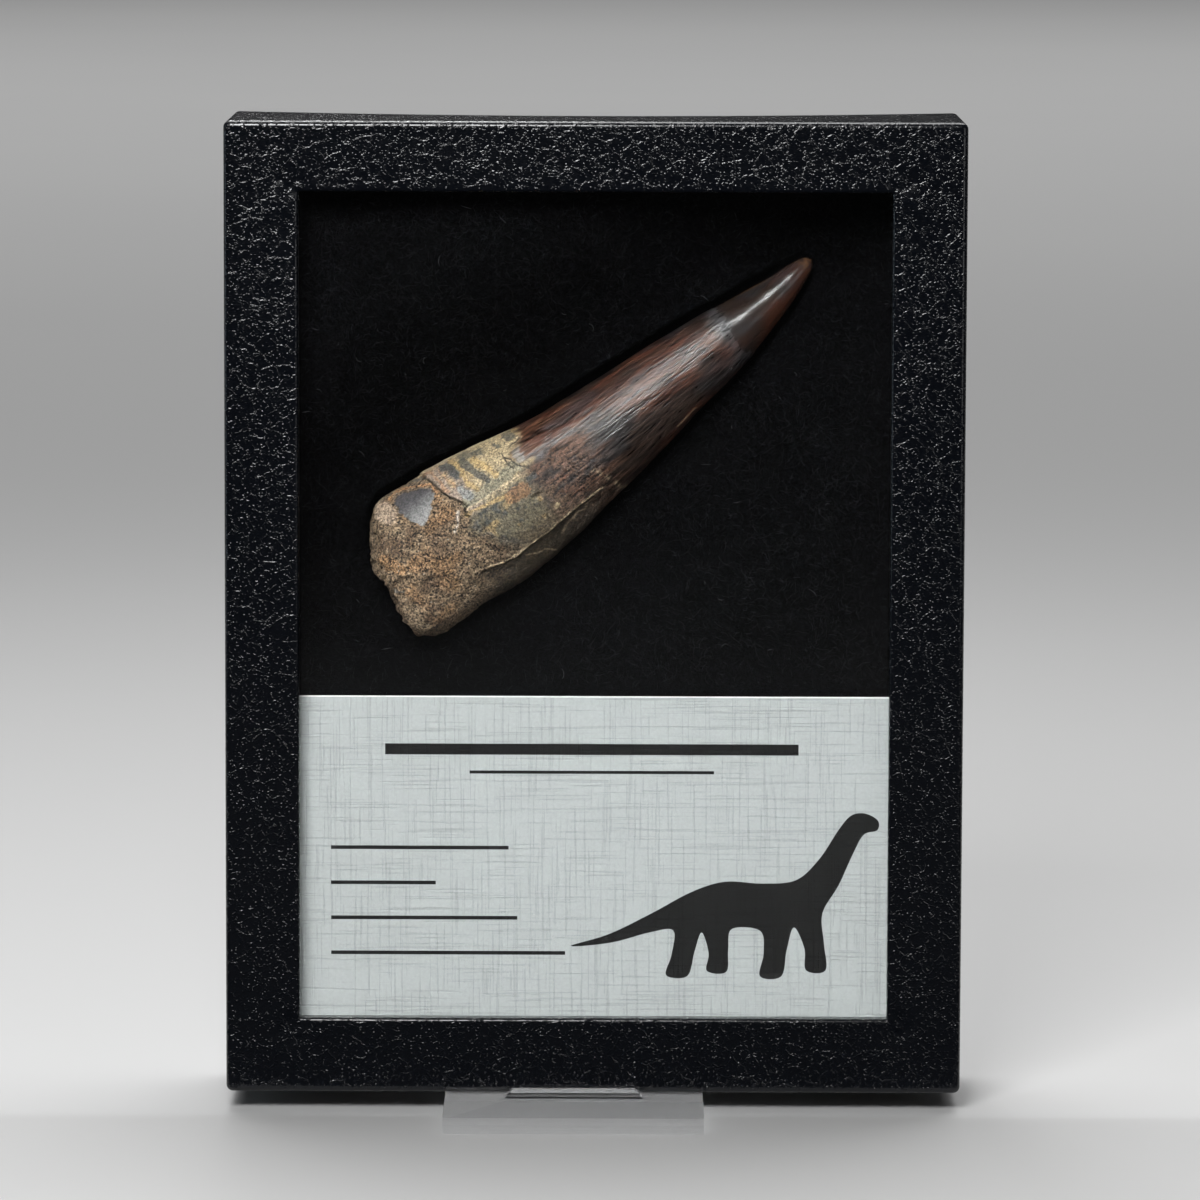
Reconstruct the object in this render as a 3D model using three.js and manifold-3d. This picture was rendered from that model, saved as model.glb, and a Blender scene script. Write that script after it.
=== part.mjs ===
// A spinosaurus tooth on black fibre in a glass-fronted card case, standing on a small
// clear stand. Millimetres, +Z up, the glass faces -Y. The origin is at the middle of the
// footprint, on the surface that the stand rests on.

import * as THREE from 'three';
import { mergeVertices } from 'three/addons/utils/BufferGeometryUtils.js';
import Module from 'manifold-3d';

const wasm = await Module();
wasm.setup();

// Driving dimensions

const gap = 0.3;

const caseWidth = 82.6;
const caseHeight = 109.2;
const caseDepth = 22.2;
const caseFront = -10.8;
const caseCornerRadius = 0.7;
const caseEdgeBevel = 0.4;

const windowWidth = 66.0;
const windowHeight = 92.9;
const windowRise = 0.3;
const borderThickness = 1.8;
const boardThickness = 1.3;
const glassThickness = 2.0;

const cardHeight = 41.3;
const cardThickness = 0.35;

const standWidth = 29.0;
const standDepth = 48.6;
const standShift = -2.15;
const acrylicThickness = 1.8;
const standCornerRadius = 0.6;
const uprightHeight = 45.0;
const uprightCornerRadius = 4.0;
const stopWidth = 15.6;
const stopDepth = 1.7;
const stopHeight = 0.9;
const stopBevel = 0.6;

const toothBase = new THREE.Vector2(-22.04, 59.99);
const toothTilt = THREE.MathUtils.degToRad(37.5);
const toothAxisDepth = 1.0;

const padDipEdge = 3.0;
const padDipReach = 12.0;
const padWave = 0.3;

// Places that follow from them

const caseBottom = acrylicThickness + gap;
const caseBack = caseFront + caseDepth;
const caseMiddle = caseBottom + caseHeight / 2;
const glassFront = caseFront + borderThickness + gap;
const trayFront = glassFront + glassThickness + gap;
const lidInnerWidth = caseWidth - 2 * boardThickness;
const lidInnerHeight = caseHeight - 2 * boardThickness;
const trayWidth = lidInnerWidth - 2 * gap;
const trayHeight = lidInnerHeight - 2 * gap;
const trayInnerWidth = trayWidth - 2 * boardThickness;
const trayInnerHeight = trayHeight - 2 * boardThickness;
const padWidth = trayInnerWidth - 2 * gap;
const padHeight = trayInnerHeight - 2 * gap;
const padFront = trayFront + cardThickness + gap;
const padBack = caseBack - boardThickness - gap;
const cardTop = caseMiddle - padHeight / 2 + cardHeight;

// Solids and geometries

function solidFrom(geometry) {
  const bare = geometry.clone();
  bare.deleteAttribute('normal');
  bare.deleteAttribute('uv');
  const merged = mergeVertices(bare, 1e-4);
  const mesh = new wasm.Mesh({
    numProp: 3,
    vertProperties: new Float32Array(merged.attributes.position.array),
    triVerts: new Uint32Array(merged.index.array),
  });
  return new wasm.Manifold(mesh);
}

function geometryFrom(solid) {
  const mesh = solid.getMesh();
  const geometry = new THREE.BufferGeometry();
  geometry.setAttribute('position', new THREE.BufferAttribute(new Float32Array(mesh.vertProperties), 3));
  geometry.setIndex(new THREE.BufferAttribute(new Uint32Array(mesh.triVerts), 1));
  return geometry;
}

function roundedRectangle(width, height, radius) {
  const halfWidth = width / 2;
  const halfHeight = height / 2;
  const shape = new THREE.Shape();
  shape.moveTo(radius - halfWidth, -halfHeight);
  shape.lineTo(halfWidth - radius, -halfHeight);
  shape.absarc(halfWidth - radius, radius - halfHeight, radius, -Math.PI / 2, 0);
  shape.absarc(halfWidth - radius, halfHeight - radius, radius, 0, Math.PI / 2);
  shape.absarc(radius - halfWidth, halfHeight - radius, radius, Math.PI / 2, Math.PI);
  shape.absarc(radius - halfWidth, radius - halfHeight, radius, Math.PI, 1.5 * Math.PI);
  return shape;
}

// An upright slab: its outline faces -Y, and it runs back from front to back
function slab(shape, front, back, middle, bevel = 0) {
  const geometry = new THREE.ExtrudeGeometry(shape, {
    depth: back - front - 2 * bevel,
    curveSegments: 3,
    bevelEnabled: bevel > 0,
    bevelThickness: bevel,
    bevelSize: bevel,
    bevelOffset: -bevel,
    bevelSegments: 1,
  });
  geometry.rotateX(Math.PI / 2);
  geometry.translate(0, back - bevel, middle);
  return geometry;
}

function upright(width, height, front, back, middle) {
  const geometry = new THREE.BoxGeometry(width, back - front, height);
  geometry.translate(0, (front + back) / 2, middle);
  return geometry;
}

// Lid: a front border with four side walls, open at the back

function lidGeometry() {
  const outline = roundedRectangle(caseWidth, caseHeight, caseCornerRadius);
  const block = solidFrom(slab(outline, caseFront, caseBack, caseMiddle, caseEdgeBevel));
  const hollowFront = caseFront + borderThickness;
  const hollow = upright(lidInnerWidth, lidInnerHeight, hollowFront, caseBack + 1, caseMiddle);
  const opening = upright(windowWidth, windowHeight, caseFront - 1, hollowFront + 1, caseMiddle + windowRise);
  return geometryFrom(block.subtract(solidFrom(hollow)).subtract(solidFrom(opening)));
}

// Tray: it slides into the lid from behind and closes the back

function trayGeometry() {
  const block = upright(trayWidth, trayHeight, trayFront, caseBack, caseMiddle);
  const floor = caseBack - boardThickness;
  const hollow = upright(trayInnerWidth, trayInnerHeight, trayFront - 1, floor, caseMiddle);
  return geometryFrom(solidFrom(block).subtract(solidFrom(hollow)));
}

// Tooth: sections from the broken end to the tip. Each gives where the section meets the
// upper edge and the lower edge, as [along, across] the tooth, and half its thickness.

const toothSections = [
  [[-1.7, -0.6], [-1.7, -0.6], 0],
  [[-0.9, 4.0], [-2.8, -5.4], 4.7],
  [[2.2, 7.4], [-1.5, -8.3], 6.3],
  [[6.0, 7.4], [3.6, -8.7], 6.6],
  [[9.9, 7.0], [8.2, -8.85], 6.5],
  [[14.2, 6.15], [12.9, -8.8], 6.25],
  [[18.6, 5.25], [17.6, -8.55], 5.95],
  [[23.2, 4.5], [22.6, -8.2], 5.6],
  [[28.0, 4.05], [27.8, -7.75], 5.2],
  [[33.0, 3.6], [33.0, -6.95], 4.75],
  [[38.2, 3.15], [38.2, -6.0], 4.25],
  [[43.4, 2.6], [43.4, -5.35], 3.7],
  [[48.4, 1.9], [48.4, -4.35], 3.0],
  [[52.6, 1.3], [52.6, -3.15], 2.2],
  [[55.9, 0.85], [56.1, -1.8], 1.4],
  [[57.7, 0.5], [57.8, -0.95], 0.8],
  [[58.3, -0.15], [58.3, -0.15], 0],
];
const sectionUpper = new THREE.CatmullRomCurve3(
  toothSections.map(([upper, , half]) => new THREE.Vector3(...upper, half)), false, 'catmullrom', 0.5);
const sectionLower = new THREE.CatmullRomCurve3(
  toothSections.map(([, lower, half]) => new THREE.Vector3(...lower, half)), false, 'catmullrom', 0.5);

// Sandy rock still clings to the root end of the tooth: 1 there, 0 on the enamel
function rockShare(along, across) {
  return 1 - THREE.MathUtils.smoothstep(along + 0.45 * across, 5.5, 9.5);
}

// Uneven swellings: a sum of waves in turned directions, each shorter and lower than the last
const waveCount = 9;
const longestWave = 11;
function swelling(along, across, depth) {
  let height = 0;
  for (let wave = 0; wave < waveCount; wave += 1) {
    const turn = 2.4 * wave;
    const reach = along * Math.cos(turn) + across * Math.sin(turn) + depth * Math.cos(1.7 * wave + 0.5);
    const pitch = longestWave / 1.28 ** wave;
    height += Math.sin(2 * Math.PI * reach / pitch + wave * wave) / (1 + 0.6 * wave);
  }
  return height;
}

// A raised or sunk spot with soft edges, in the tooth's own along and across
function spot(along, across, [centreAlong, centreAcross, radiusAlong, radiusAcross, height]) {
  const reach = Math.hypot((along - centreAlong) / radiusAlong, (across - centreAcross) / radiusAcross);
  return height * (1 - THREE.MathUtils.smoothstep(reach, 0.55, 1));
}

const frontSpots = [
  [6.3, 4.6, 3.3, 3.2, -0.45],
  [2.4, 5.6, 1.9, 2.0, 0.35],
  [-0.6, 1.6, 2.2, 2.4, 0.5],
  [0.2, -3.6, 2.6, 2.2, -0.7],
  [4.6, -1.6, 3.4, 2.2, 0.35],
  [-1.2, -6.6, 2.6, 1.9, 0.6],
  [8.4, -4.8, 3.4, 2.0, 0.3],
];
const backSpots = [
  [3.4, 3.4, 3.6, 2.6, -0.6],
  [0.4, -1.2, 2.8, 2.6, 0.7],
  [7.6, -2.4, 3.4, 2.6, 0.45],
  [12.8, 2.6, 4.2, 2.4, -0.35],
  [5.0, -6.2, 3.0, 2.0, 0.5],
];

// How far the surface stands proud of the plain loft. The enamel collar steps up from the
// rock, a ledge runs along the lower side of the root, and a worn ring steps down at the tip.
function relief(along, across, depth) {
  const { smoothstep } = THREE.MathUtils;
  const front = smoothstep(depth, -0.5, 1.5);
  const rock = rockShare(along, across);
  const collarPlace = 9.6 + 0.12 * Math.abs(across - 2) ** 1.6;
  const collar = 0.3 * (smoothstep(along, collarPlace - 0.6, collarPlace + 0.2) - smoothstep(along, 16, 26));
  const ledge = 0.35 * (1 - smoothstep(across, -8.0, -6.9)) * (1 - smoothstep(along, 19, 24));
  const ring = 0.16 * smoothstep(along, 46.3, 47.1) * (1 - smoothstep(along, 50, 57));
  let height = collar - front * ledge - ring;
  height += swelling(along, across, depth) * (0.025 + 0.12 * rock);
  for (const place of frontSpots) {
    height += front * spot(along, across, place);
  }
  for (const place of backSpots) {
    height += (1 - front) * spot(along, across, place);
  }
  return height;
}

// The loft of the sections: an ellipse from edge to edge at each, moved out by the relief
// and by growth. The ends close on one point each.
function toothGeometry(rings, around, growth) {
  const positions = [];
  const addPoint = (along, across, depth) => {
    positions.push(
      toothBase.x + along * Math.cos(toothTilt) - across * Math.sin(toothTilt),
      toothAxisDepth - depth,
      toothBase.y + along * Math.sin(toothTilt) + across * Math.cos(toothTilt),
    );
  };
  for (let ring = 0; ring <= rings; ring += 1) {
    const upper = sectionUpper.getPoint(ring / rings);
    const lower = sectionLower.getPoint(ring / rings);
    const halfDepth = Math.max(upper.z, 0);
    const halfSpan = Math.hypot(upper.x - lower.x, upper.y - lower.y) / 2;
    const closing = Math.min(1, halfSpan / 1.2);
    const isPole = ring === 0 || ring === rings;
    const endPush = growth * (ring === 0 ? -1 : 1);
    for (let step = 0; step < (isPole ? 1 : around); step += 1) {
      const angle = 2 * Math.PI * step / around;
      const swing = (1 + Math.cos(angle)) / 2;
      const along = lower.x + (upper.x - lower.x) * swing;
      const across = lower.y + (upper.y - lower.y) * swing;
      const depth = halfDepth * Math.sin(angle);
      const push = growth + closing * relief(along, across, depth);
      const outward = isPole
        ? [endPush, 0, 0]
        : [ring < 4 ? -push * (4 - ring) / 5 : 0, push * Math.cos(angle), push * Math.sin(angle)];
      addPoint(along + outward[0], across + outward[1], depth + outward[2]);
    }
  }
  const index = [];
  const first = (ring) => 1 + (ring - 1) * around;
  const tip = positions.length / 3 - 1;
  for (let step = 0; step < around; step += 1) {
    const next = (step + 1) % around;
    index.push(0, first(1) + next, first(1) + step);
    for (let ring = 1; ring < rings - 1; ring += 1) {
      const here = first(ring);
      const beyond = first(ring + 1);
      index.push(here + step, beyond + next, beyond + step);
      index.push(here + step, here + next, beyond + next);
    }
    index.push(first(rings - 1) + step, first(rings - 1) + next, tip);
  }
  const geometry = new THREE.BufferGeometry();
  geometry.setAttribute('position', new THREE.Float32BufferAttribute(positions, 3));
  geometry.setIndex(index);
  return geometry;
}

// Fibre pad: it touches the card and dips towards the tooth, which lies half sunk in it

function padDistance(x, z) {
  const offset = new THREE.Vector2(x, z).sub(toothBase);
  const along = offset.x * Math.cos(toothTilt) + offset.y * Math.sin(toothTilt);
  const across = offset.y * Math.cos(toothTilt) - offset.x * Math.sin(toothTilt);
  const onAxis = THREE.MathUtils.clamp(along, 0, 57);
  const share = onAxis / 57;
  const halfWidth = 8.1 - 6.6 * share ** 1.5;
  return Math.hypot(along - onAxis, across + 0.6 + 1.2 * Math.sin(Math.PI * share)) - halfWidth;
}

function padSurface(x, z) {
  const { smoothstep } = THREE.MathUtils;
  const near = 1 - smoothstep(padDistance(x, z), padDipEdge, padDipReach);
  const clearOfCard = smoothstep(z, cardTop - 0.5, cardTop + 5);
  const wave = 0.5 + 0.25 * Math.sin(x / 5.1 + z / 7.3) + 0.25 * Math.sin(z / 4.3 - x / 8.7);
  const dipFloor = toothAxisDepth + 0.7;
  return padFront + clearOfCard * (near * (dipFloor - padFront) + padWave * wave);
}

function padGeometry() {
  const block = new THREE.BoxGeometry(padWidth, padBack - padFront, padHeight, 22, 1, 30);
  block.translate(0, (padFront + padBack) / 2, caseMiddle);
  const points = block.attributes.position;
  for (let point = 0; point < points.count; point += 1) {
    if (points.getY(point) < 0) {
      points.setY(point, padSurface(points.getX(point), points.getZ(point)));
    }
  }
  const grownTooth = toothGeometry(32, 24, 0.7);
  return geometryFrom(solidFrom(block).subtract(solidFrom(grownTooth)));
}

// Stand: a base plate, an upright plate behind the case and a low stop with bevelled ends
// in front of it, glued up as one piece

function standGeometry() {
  const base = new THREE.ExtrudeGeometry(roundedRectangle(standWidth, standDepth, standCornerRadius), {
    depth: acrylicThickness,
    curveSegments: 3,
    bevelEnabled: false,
  });

  const plateShape = new THREE.Shape();
  const half = standWidth / 2;
  plateShape.moveTo(-half, -0.2);
  plateShape.lineTo(half, -0.2);
  plateShape.lineTo(half, uprightHeight - uprightCornerRadius);
  plateShape.absarc(half - uprightCornerRadius, uprightHeight - uprightCornerRadius,
    uprightCornerRadius, 0, Math.PI / 2);
  plateShape.absarc(uprightCornerRadius - half, uprightHeight - uprightCornerRadius,
    uprightCornerRadius, Math.PI / 2, Math.PI);
  const plateFront = caseBack + gap;
  const plate = slab(plateShape, plateFront, plateFront + acrylicThickness, acrylicThickness);

  const stopShape = new THREE.Shape();
  stopShape.moveTo(-stopWidth / 2, -0.2);
  stopShape.lineTo(stopWidth / 2, -0.2);
  stopShape.lineTo(stopWidth / 2, 0);
  stopShape.lineTo(stopWidth / 2 - stopHeight, stopHeight);
  stopShape.lineTo(stopHeight - stopWidth / 2, stopHeight);
  stopShape.lineTo(-stopWidth / 2, 0);
  const stopBack = caseFront - gap;
  const stopFront = stopBack - stopDepth;
  const stop = slab(stopShape, stopFront, stopBack, acrylicThickness);
  const shaving = upright(stopWidth + 1, 2 * stopBevel, -stopBevel, stopBevel, 0);
  shaving.rotateX(Math.PI / 4);
  shaving.translate(0, stopFront - 0.1, acrylicThickness + stopHeight + 0.1);

  const bevelled = solidFrom(stop).subtract(solidFrom(shaving));
  const whole = solidFrom(base).add(solidFrom(plate)).add(bevelled);
  return geometryFrom(whole.translate([standShift, 0, 0]));
}

// Materials

const leatherette = new THREE.MeshStandardMaterial({ color: 0x2b2c31, roughness: 0.45, metalness: 0 });
const glass = new THREE.MeshStandardMaterial({
  color: 0xf2f6f6, roughness: 0.05, metalness: 0, transparent: true, opacity: 0.2,
});
const fibre = new THREE.MeshStandardMaterial({ color: 0x0c0c0d, roughness: 1, metalness: 0 });
const linenCard = new THREE.MeshStandardMaterial({ color: 0xc9ccd0, roughness: 0.8, metalness: 0 });
const fossil = new THREE.MeshStandardMaterial({ color: 0x5a4433, roughness: 0.5, metalness: 0 });
const acrylic = new THREE.MeshStandardMaterial({
  color: 0xeef0f4, roughness: 0.05, metalness: 0, transparent: true, opacity: 0.35,
});

// Assembly

function glassGeometry() {
  return upright(trayWidth, trayHeight, glassFront, glassFront + glassThickness, caseMiddle);
}

function cardGeometry() {
  return upright(padWidth, cardHeight, trayFront, trayFront + cardThickness, cardTop - cardHeight / 2);
}

const pieces = [
  ['case_lid', lidGeometry(), leatherette],
  ['glass_pane', glassGeometry(), glass],
  ['case_tray', trayGeometry(), leatherette],
  ['fibre_pad', padGeometry(), fibre],
  ['label_card', cardGeometry(), linenCard],
  ['tooth', toothGeometry(48, 44, 0), fossil],
  ['acrylic_stand', standGeometry(), acrylic],
];

const display = new THREE.Group();
for (const [name, geometry, material] of pieces) {
  const mesh = new THREE.Mesh(geometry, material);
  mesh.name = name;
  display.add(mesh);
}

export default display;
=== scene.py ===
import math

import bpy
import numpy as np
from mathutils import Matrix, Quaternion, Vector
from mathutils.geometry import delaunay_2d_cdt


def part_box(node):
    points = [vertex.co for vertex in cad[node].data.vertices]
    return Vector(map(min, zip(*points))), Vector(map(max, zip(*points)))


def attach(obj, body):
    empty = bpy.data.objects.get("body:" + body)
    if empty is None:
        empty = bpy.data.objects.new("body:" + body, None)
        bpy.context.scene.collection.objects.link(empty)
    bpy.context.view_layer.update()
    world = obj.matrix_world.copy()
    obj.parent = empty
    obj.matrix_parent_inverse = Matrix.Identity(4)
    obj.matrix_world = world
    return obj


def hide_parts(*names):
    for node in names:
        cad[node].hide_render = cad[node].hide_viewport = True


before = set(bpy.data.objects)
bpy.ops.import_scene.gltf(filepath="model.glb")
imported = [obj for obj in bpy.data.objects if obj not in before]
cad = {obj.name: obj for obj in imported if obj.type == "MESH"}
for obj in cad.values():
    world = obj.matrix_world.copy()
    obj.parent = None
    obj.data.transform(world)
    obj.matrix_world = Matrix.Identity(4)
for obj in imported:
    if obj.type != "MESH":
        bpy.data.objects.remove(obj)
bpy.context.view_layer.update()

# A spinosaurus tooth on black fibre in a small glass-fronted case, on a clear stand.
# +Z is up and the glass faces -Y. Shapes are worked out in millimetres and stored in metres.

MM = 0.001

# Places taken from the frame, in millimetres


def span(node, axis):
    """The lowest and highest place of a node along one axis."""
    low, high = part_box(node)
    return low[axis] / MM, high[axis] / MM


LID_X, LID_Y, LID_Z = (span("case_lid", axis) for axis in range(3))
TRAY_X, TRAY_Y, TRAY_Z = (span("case_tray", axis) for axis in range(3))
PAD_X, PAD_Y, PAD_Z = (span("fibre_pad", axis) for axis in range(3))
CARD_X, CARD_Y, CARD_Z = (span("label_card", axis) for axis in range(3))
CASE_FRONT, CASE_BACK = LID_Y
CASE_MIDDLE = sum(LID_Z) / 2

WINDOW_WIDTH = 66.0
WINDOW_HEIGHT = 92.9
WINDOW_RISE = 0.3
BORDER_THICKNESS = 1.8
BOARD_THICKNESS = 1.3

# Camera: the photograph's place and lens, worked out from the corners of the case

CAMERA_TARGET = Vector((0.0, -10.8, 56.0)) * MM
CAMERA_DISTANCE = 781.7 * MM
CAMERA_AZIMUTH = math.radians(0.11)
CAMERA_ELEVATION = math.radians(6.99)
CAMERA_AIM = Vector((0.62, -10.8, 57.98)) * MM
CAMERA_ROLL = math.radians(0.175)
LENS = 210.0
SENSOR = 36.0


def make_camera():
    """The camera stands off its target, looks at the aim and rolls a little about its view."""
    data = bpy.data.cameras.new("camera")
    data.lens = LENS
    data.sensor_width = SENSOR
    data.sensor_fit = "HORIZONTAL"
    data.clip_end = 20.0
    camera = bpy.data.objects.new("camera", data)
    bpy.context.scene.collection.objects.link(camera)
    level = math.cos(CAMERA_ELEVATION)
    away = Vector((
        math.sin(CAMERA_AZIMUTH) * level,
        -math.cos(CAMERA_AZIMUTH) * level,
        math.sin(CAMERA_ELEVATION),
    ))
    camera.location = CAMERA_TARGET + CAMERA_DISTANCE * away
    looking = (CAMERA_AIM - camera.location).to_track_quat("-Z", "Y")
    camera.rotation_euler = (looking @ Quaternion((0, 0, 1), CAMERA_ROLL)).to_euler()
    bpy.context.scene.camera = camera


# Whole-array shape tools


def smoothstep(value, low, high):
    """0 below low, 1 above high, and an S-shaped rise between."""
    share = np.clip((value - low) / (high - low), 0, 1)
    return share * share * (3 - 2 * share)


HASH_PRIMES = (73856093, 19349663, 83492791)
HASH_SEED_STEP = 2654435761
HASH_MIX = 1274126177
HASH_RANGE = 0xFFFFFFFF


def noise(points, pitch, seed=0):
    """Random values from -1 to 1 at the corners of a lattice of that pitch, blended between them."""
    cell = np.asarray(points, dtype=float) / pitch
    corner = np.floor(cell).astype(np.int64)
    share = cell - corner
    share = share * share * (3 - 2 * share)
    total = np.zeros(cell.shape[:-1])
    for step in np.ndindex(2, 2, 2):
        key = (corner + step) * HASH_PRIMES
        mixed = ((key[..., 0] ^ key[..., 1] ^ key[..., 2]) + seed * HASH_SEED_STEP) & HASH_RANGE
        mixed = ((mixed ^ (mixed >> 13)) * HASH_MIX) & HASH_RANGE
        mixed = mixed ^ (mixed >> 16)
        weight = np.where(step, share, 1 - share).prod(axis=-1)
        total += weight * (mixed / (HASH_RANGE // 2) - 1)
    return total


def layered_noise(points, pitch, layers, seed=0):
    """Noise with finer layers on it, each of half the pitch and half the height."""
    return sum(noise(points, pitch / 2 ** n, seed + n) / 2 ** n for n in range(layers))


def catmull_rom(points, place):
    """A smooth curve through rows of points; place runs from 0 at the first row to 1 at the last."""
    ends = np.vstack([2 * points[0] - points[1], points, 2 * points[-1] - points[-2]])
    reach = np.asarray(place) * (len(points) - 1)
    segment = np.minimum(reach.astype(int), len(points) - 2)
    t = (reach - segment)[..., None]
    before, start, end, after = (ends[segment + step] for step in range(4))
    bend = 2 * before - 5 * start + 4 * end - after + t * (3 * (start - end) + after - before)
    return start + 0.5 * t * (end - before + t * bend)


def grid_faces(rows, columns, wrap_rows=False, wrap_columns=True):
    """Two triangles for each cell of a grid of points numbered row by row."""
    row = np.arange(rows if wrap_rows else rows - 1)[:, None]
    column = np.arange(columns if wrap_columns else columns - 1)[None, :]
    below = (row + 1) % rows
    beside = (column + 1) % columns
    a = row * columns + column
    b = row * columns + beside
    c = below * columns + beside
    d = below * columns + column
    return np.concatenate([np.stack(corners, -1).reshape(-1, 3) for corners in ((a, b, c), (a, c, d))])


def fan_faces(ring, pole):
    """Triangles from each step of a ring of points to one pole."""
    return np.stack([ring, np.roll(ring, -1), np.full_like(ring, pole)], -1)


def closed_faces(rows, columns):
    """Rings joined in turn, and each end ring closed to a pole that comes after all the rings."""
    first = np.arange(columns)
    last = first + (rows - 1) * columns
    pole = rows * columns
    return np.concatenate([
        grid_faces(rows, columns), fan_faces(first, pole)[:, [1, 0, 2]], fan_faces(last, pole + 1)])


def make_piece(name, points, faces, materials, smooth=True):
    """A mesh object at the origin, from points in millimetres and triangles of point numbers."""
    mesh = bpy.data.meshes.new(name)
    mesh.vertices.add(len(points))
    mesh.vertices.foreach_set("co", (np.asarray(points, dtype=float) * MM).ravel())
    mesh.loops.add(faces.size)
    mesh.loops.foreach_set("vertex_index", faces.astype(np.int32).ravel())
    mesh.polygons.add(len(faces))
    mesh.polygons.foreach_set("loop_start", np.arange(0, faces.size, 3, dtype=np.int32))
    mesh.polygons.foreach_set("use_smooth", np.full(len(faces), smooth))
    for material in materials:
        mesh.materials.append(material)
    mesh.update(calc_edges=True)
    piece = bpy.data.objects.new(name, mesh)
    bpy.context.scene.collection.objects.link(piece)
    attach(piece, "root")
    return piece


def store(piece, name, values):
    """Keeps one number or one colour for each point of a piece, for its material to read."""
    if values.ndim == 1:
        layer = piece.data.attributes.new(name, "FLOAT", "POINT")
        layer.data.foreach_set("value", values)
        return
    layer = piece.data.attributes.new(name, "FLOAT_COLOR", "POINT")
    opaque = np.concatenate([values, np.ones((len(values), 1))], axis=1)
    layer.data.foreach_set("color", opaque.ravel())


# Shader maths


class Value:
    """A node's output. Arithmetic on it adds Math nodes, so that a mask reads as its formula."""

    def __init__(self, finish, socket):
        self.finish = finish
        self.socket = socket

    def __add__(self, other):
        return self.finish.maths("ADD", self, other)

    __radd__ = __add__

    def __sub__(self, other):
        return self.finish.maths("SUBTRACT", self, other)

    def __rsub__(self, other):
        return self.finish.maths("SUBTRACT", other, self)

    def __mul__(self, other):
        return self.finish.maths("MULTIPLY", self, other)

    __rmul__ = __mul__


class Finish:
    """The nodes of one material, or of the world."""

    def __init__(self, name, family="materials"):
        self.owner = getattr(bpy.data, family).new(name)
        self.owner.use_nodes = True
        self.tree = self.owner.node_tree
        self.tree.nodes.clear()

    def node(self, kind, settings=None, sockets=None, output=0):
        """Adds a node, sets its settings, then the values or links of its sockets."""
        node = self.tree.nodes.new(kind)
        for name, value in (settings or {}).items():
            setattr(node, name, value)
        for name, value in (sockets or {}).items():
            if isinstance(value, Value):
                self.tree.links.new(value.socket, node.inputs[name])
            else:
                node.inputs[name].default_value = value
        return Value(self, node.outputs[output])

    def maths(self, operation, first, second):
        return self.node("ShaderNodeMath", {"operation": operation}, {0: first, 1: second})

    def place(self, stretch=(1, 1, 1), turn=(0, 0, 0)):
        """The point in millimetres in the piece's own frame, turned first and then stretched."""
        where = self.node("ShaderNodeTexCoord", output="Object")
        if any(turn):
            where = self.node("ShaderNodeMapping", None, {"Vector": where, "Rotation": turn})
        scale = tuple(share / MM for share in stretch)
        return self.node("ShaderNodeMapping", None, {"Vector": where, "Scale": scale})

    def noise(self, where, scale, detail=3.0, roughness=0.55, distortion=0.0):
        return self.node("ShaderNodeTexNoise", None, {
            "Vector": where, "Scale": scale, "Detail": detail, "Roughness": roughness,
            "Distortion": distortion})

    def cells(self, where, scale, output="Distance", feature="F1"):
        """Cells: how far a point is from the nearest cell's middle, or one random colour for each."""
        return self.node(
            "ShaderNodeTexVoronoi", {"feature": feature}, {"Vector": where, "Scale": scale}, output)

    def fade(self, value, low, high, start=0.0, end=1.0):
        """A straight rise from start to end as value goes from low to high."""
        return self.node("ShaderNodeMapRange", {"clamp": True}, {
            "Value": value, "From Min": low, "From Max": high, "To Min": start, "To Max": end})

    def mix(self, share, first, second, blend="MIX"):
        """Blends two colours."""
        first, second = (c if isinstance(c, Value) else (*c, 1.0) for c in (first, second))
        return self.node("ShaderNodeMix", {"data_type": "RGBA", "blend_type": blend},
                         {0: share, 6: first, 7: second}, output=2)

    def bump(self, height, distance, strength=1.0):
        """Distance in millimetres for a height of 1."""
        return self.node(
            "ShaderNodeBump", None, {"Height": height, "Distance": distance * MM, "Strength": strength})

    def surface(self, colour, roughness, **sockets):
        """The material's Principled shader, with spaces in socket names written as underscores."""
        named = {name.replace("_", " "): value for name, value in sockets.items()}
        named["Base Color"] = colour if isinstance(colour, Value) else (*colour, 1.0)
        named["Roughness"] = roughness
        return self.node("ShaderNodeBsdfPrincipled", None, named)

    def finished(self, shader, output="ShaderNodeOutputMaterial"):
        """Links the shader to the output, and gives back the material or the world."""
        self.tree.links.new(shader.socket, self.tree.nodes.new(output).inputs["Surface"])
        return self.owner


# Finishes


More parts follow.
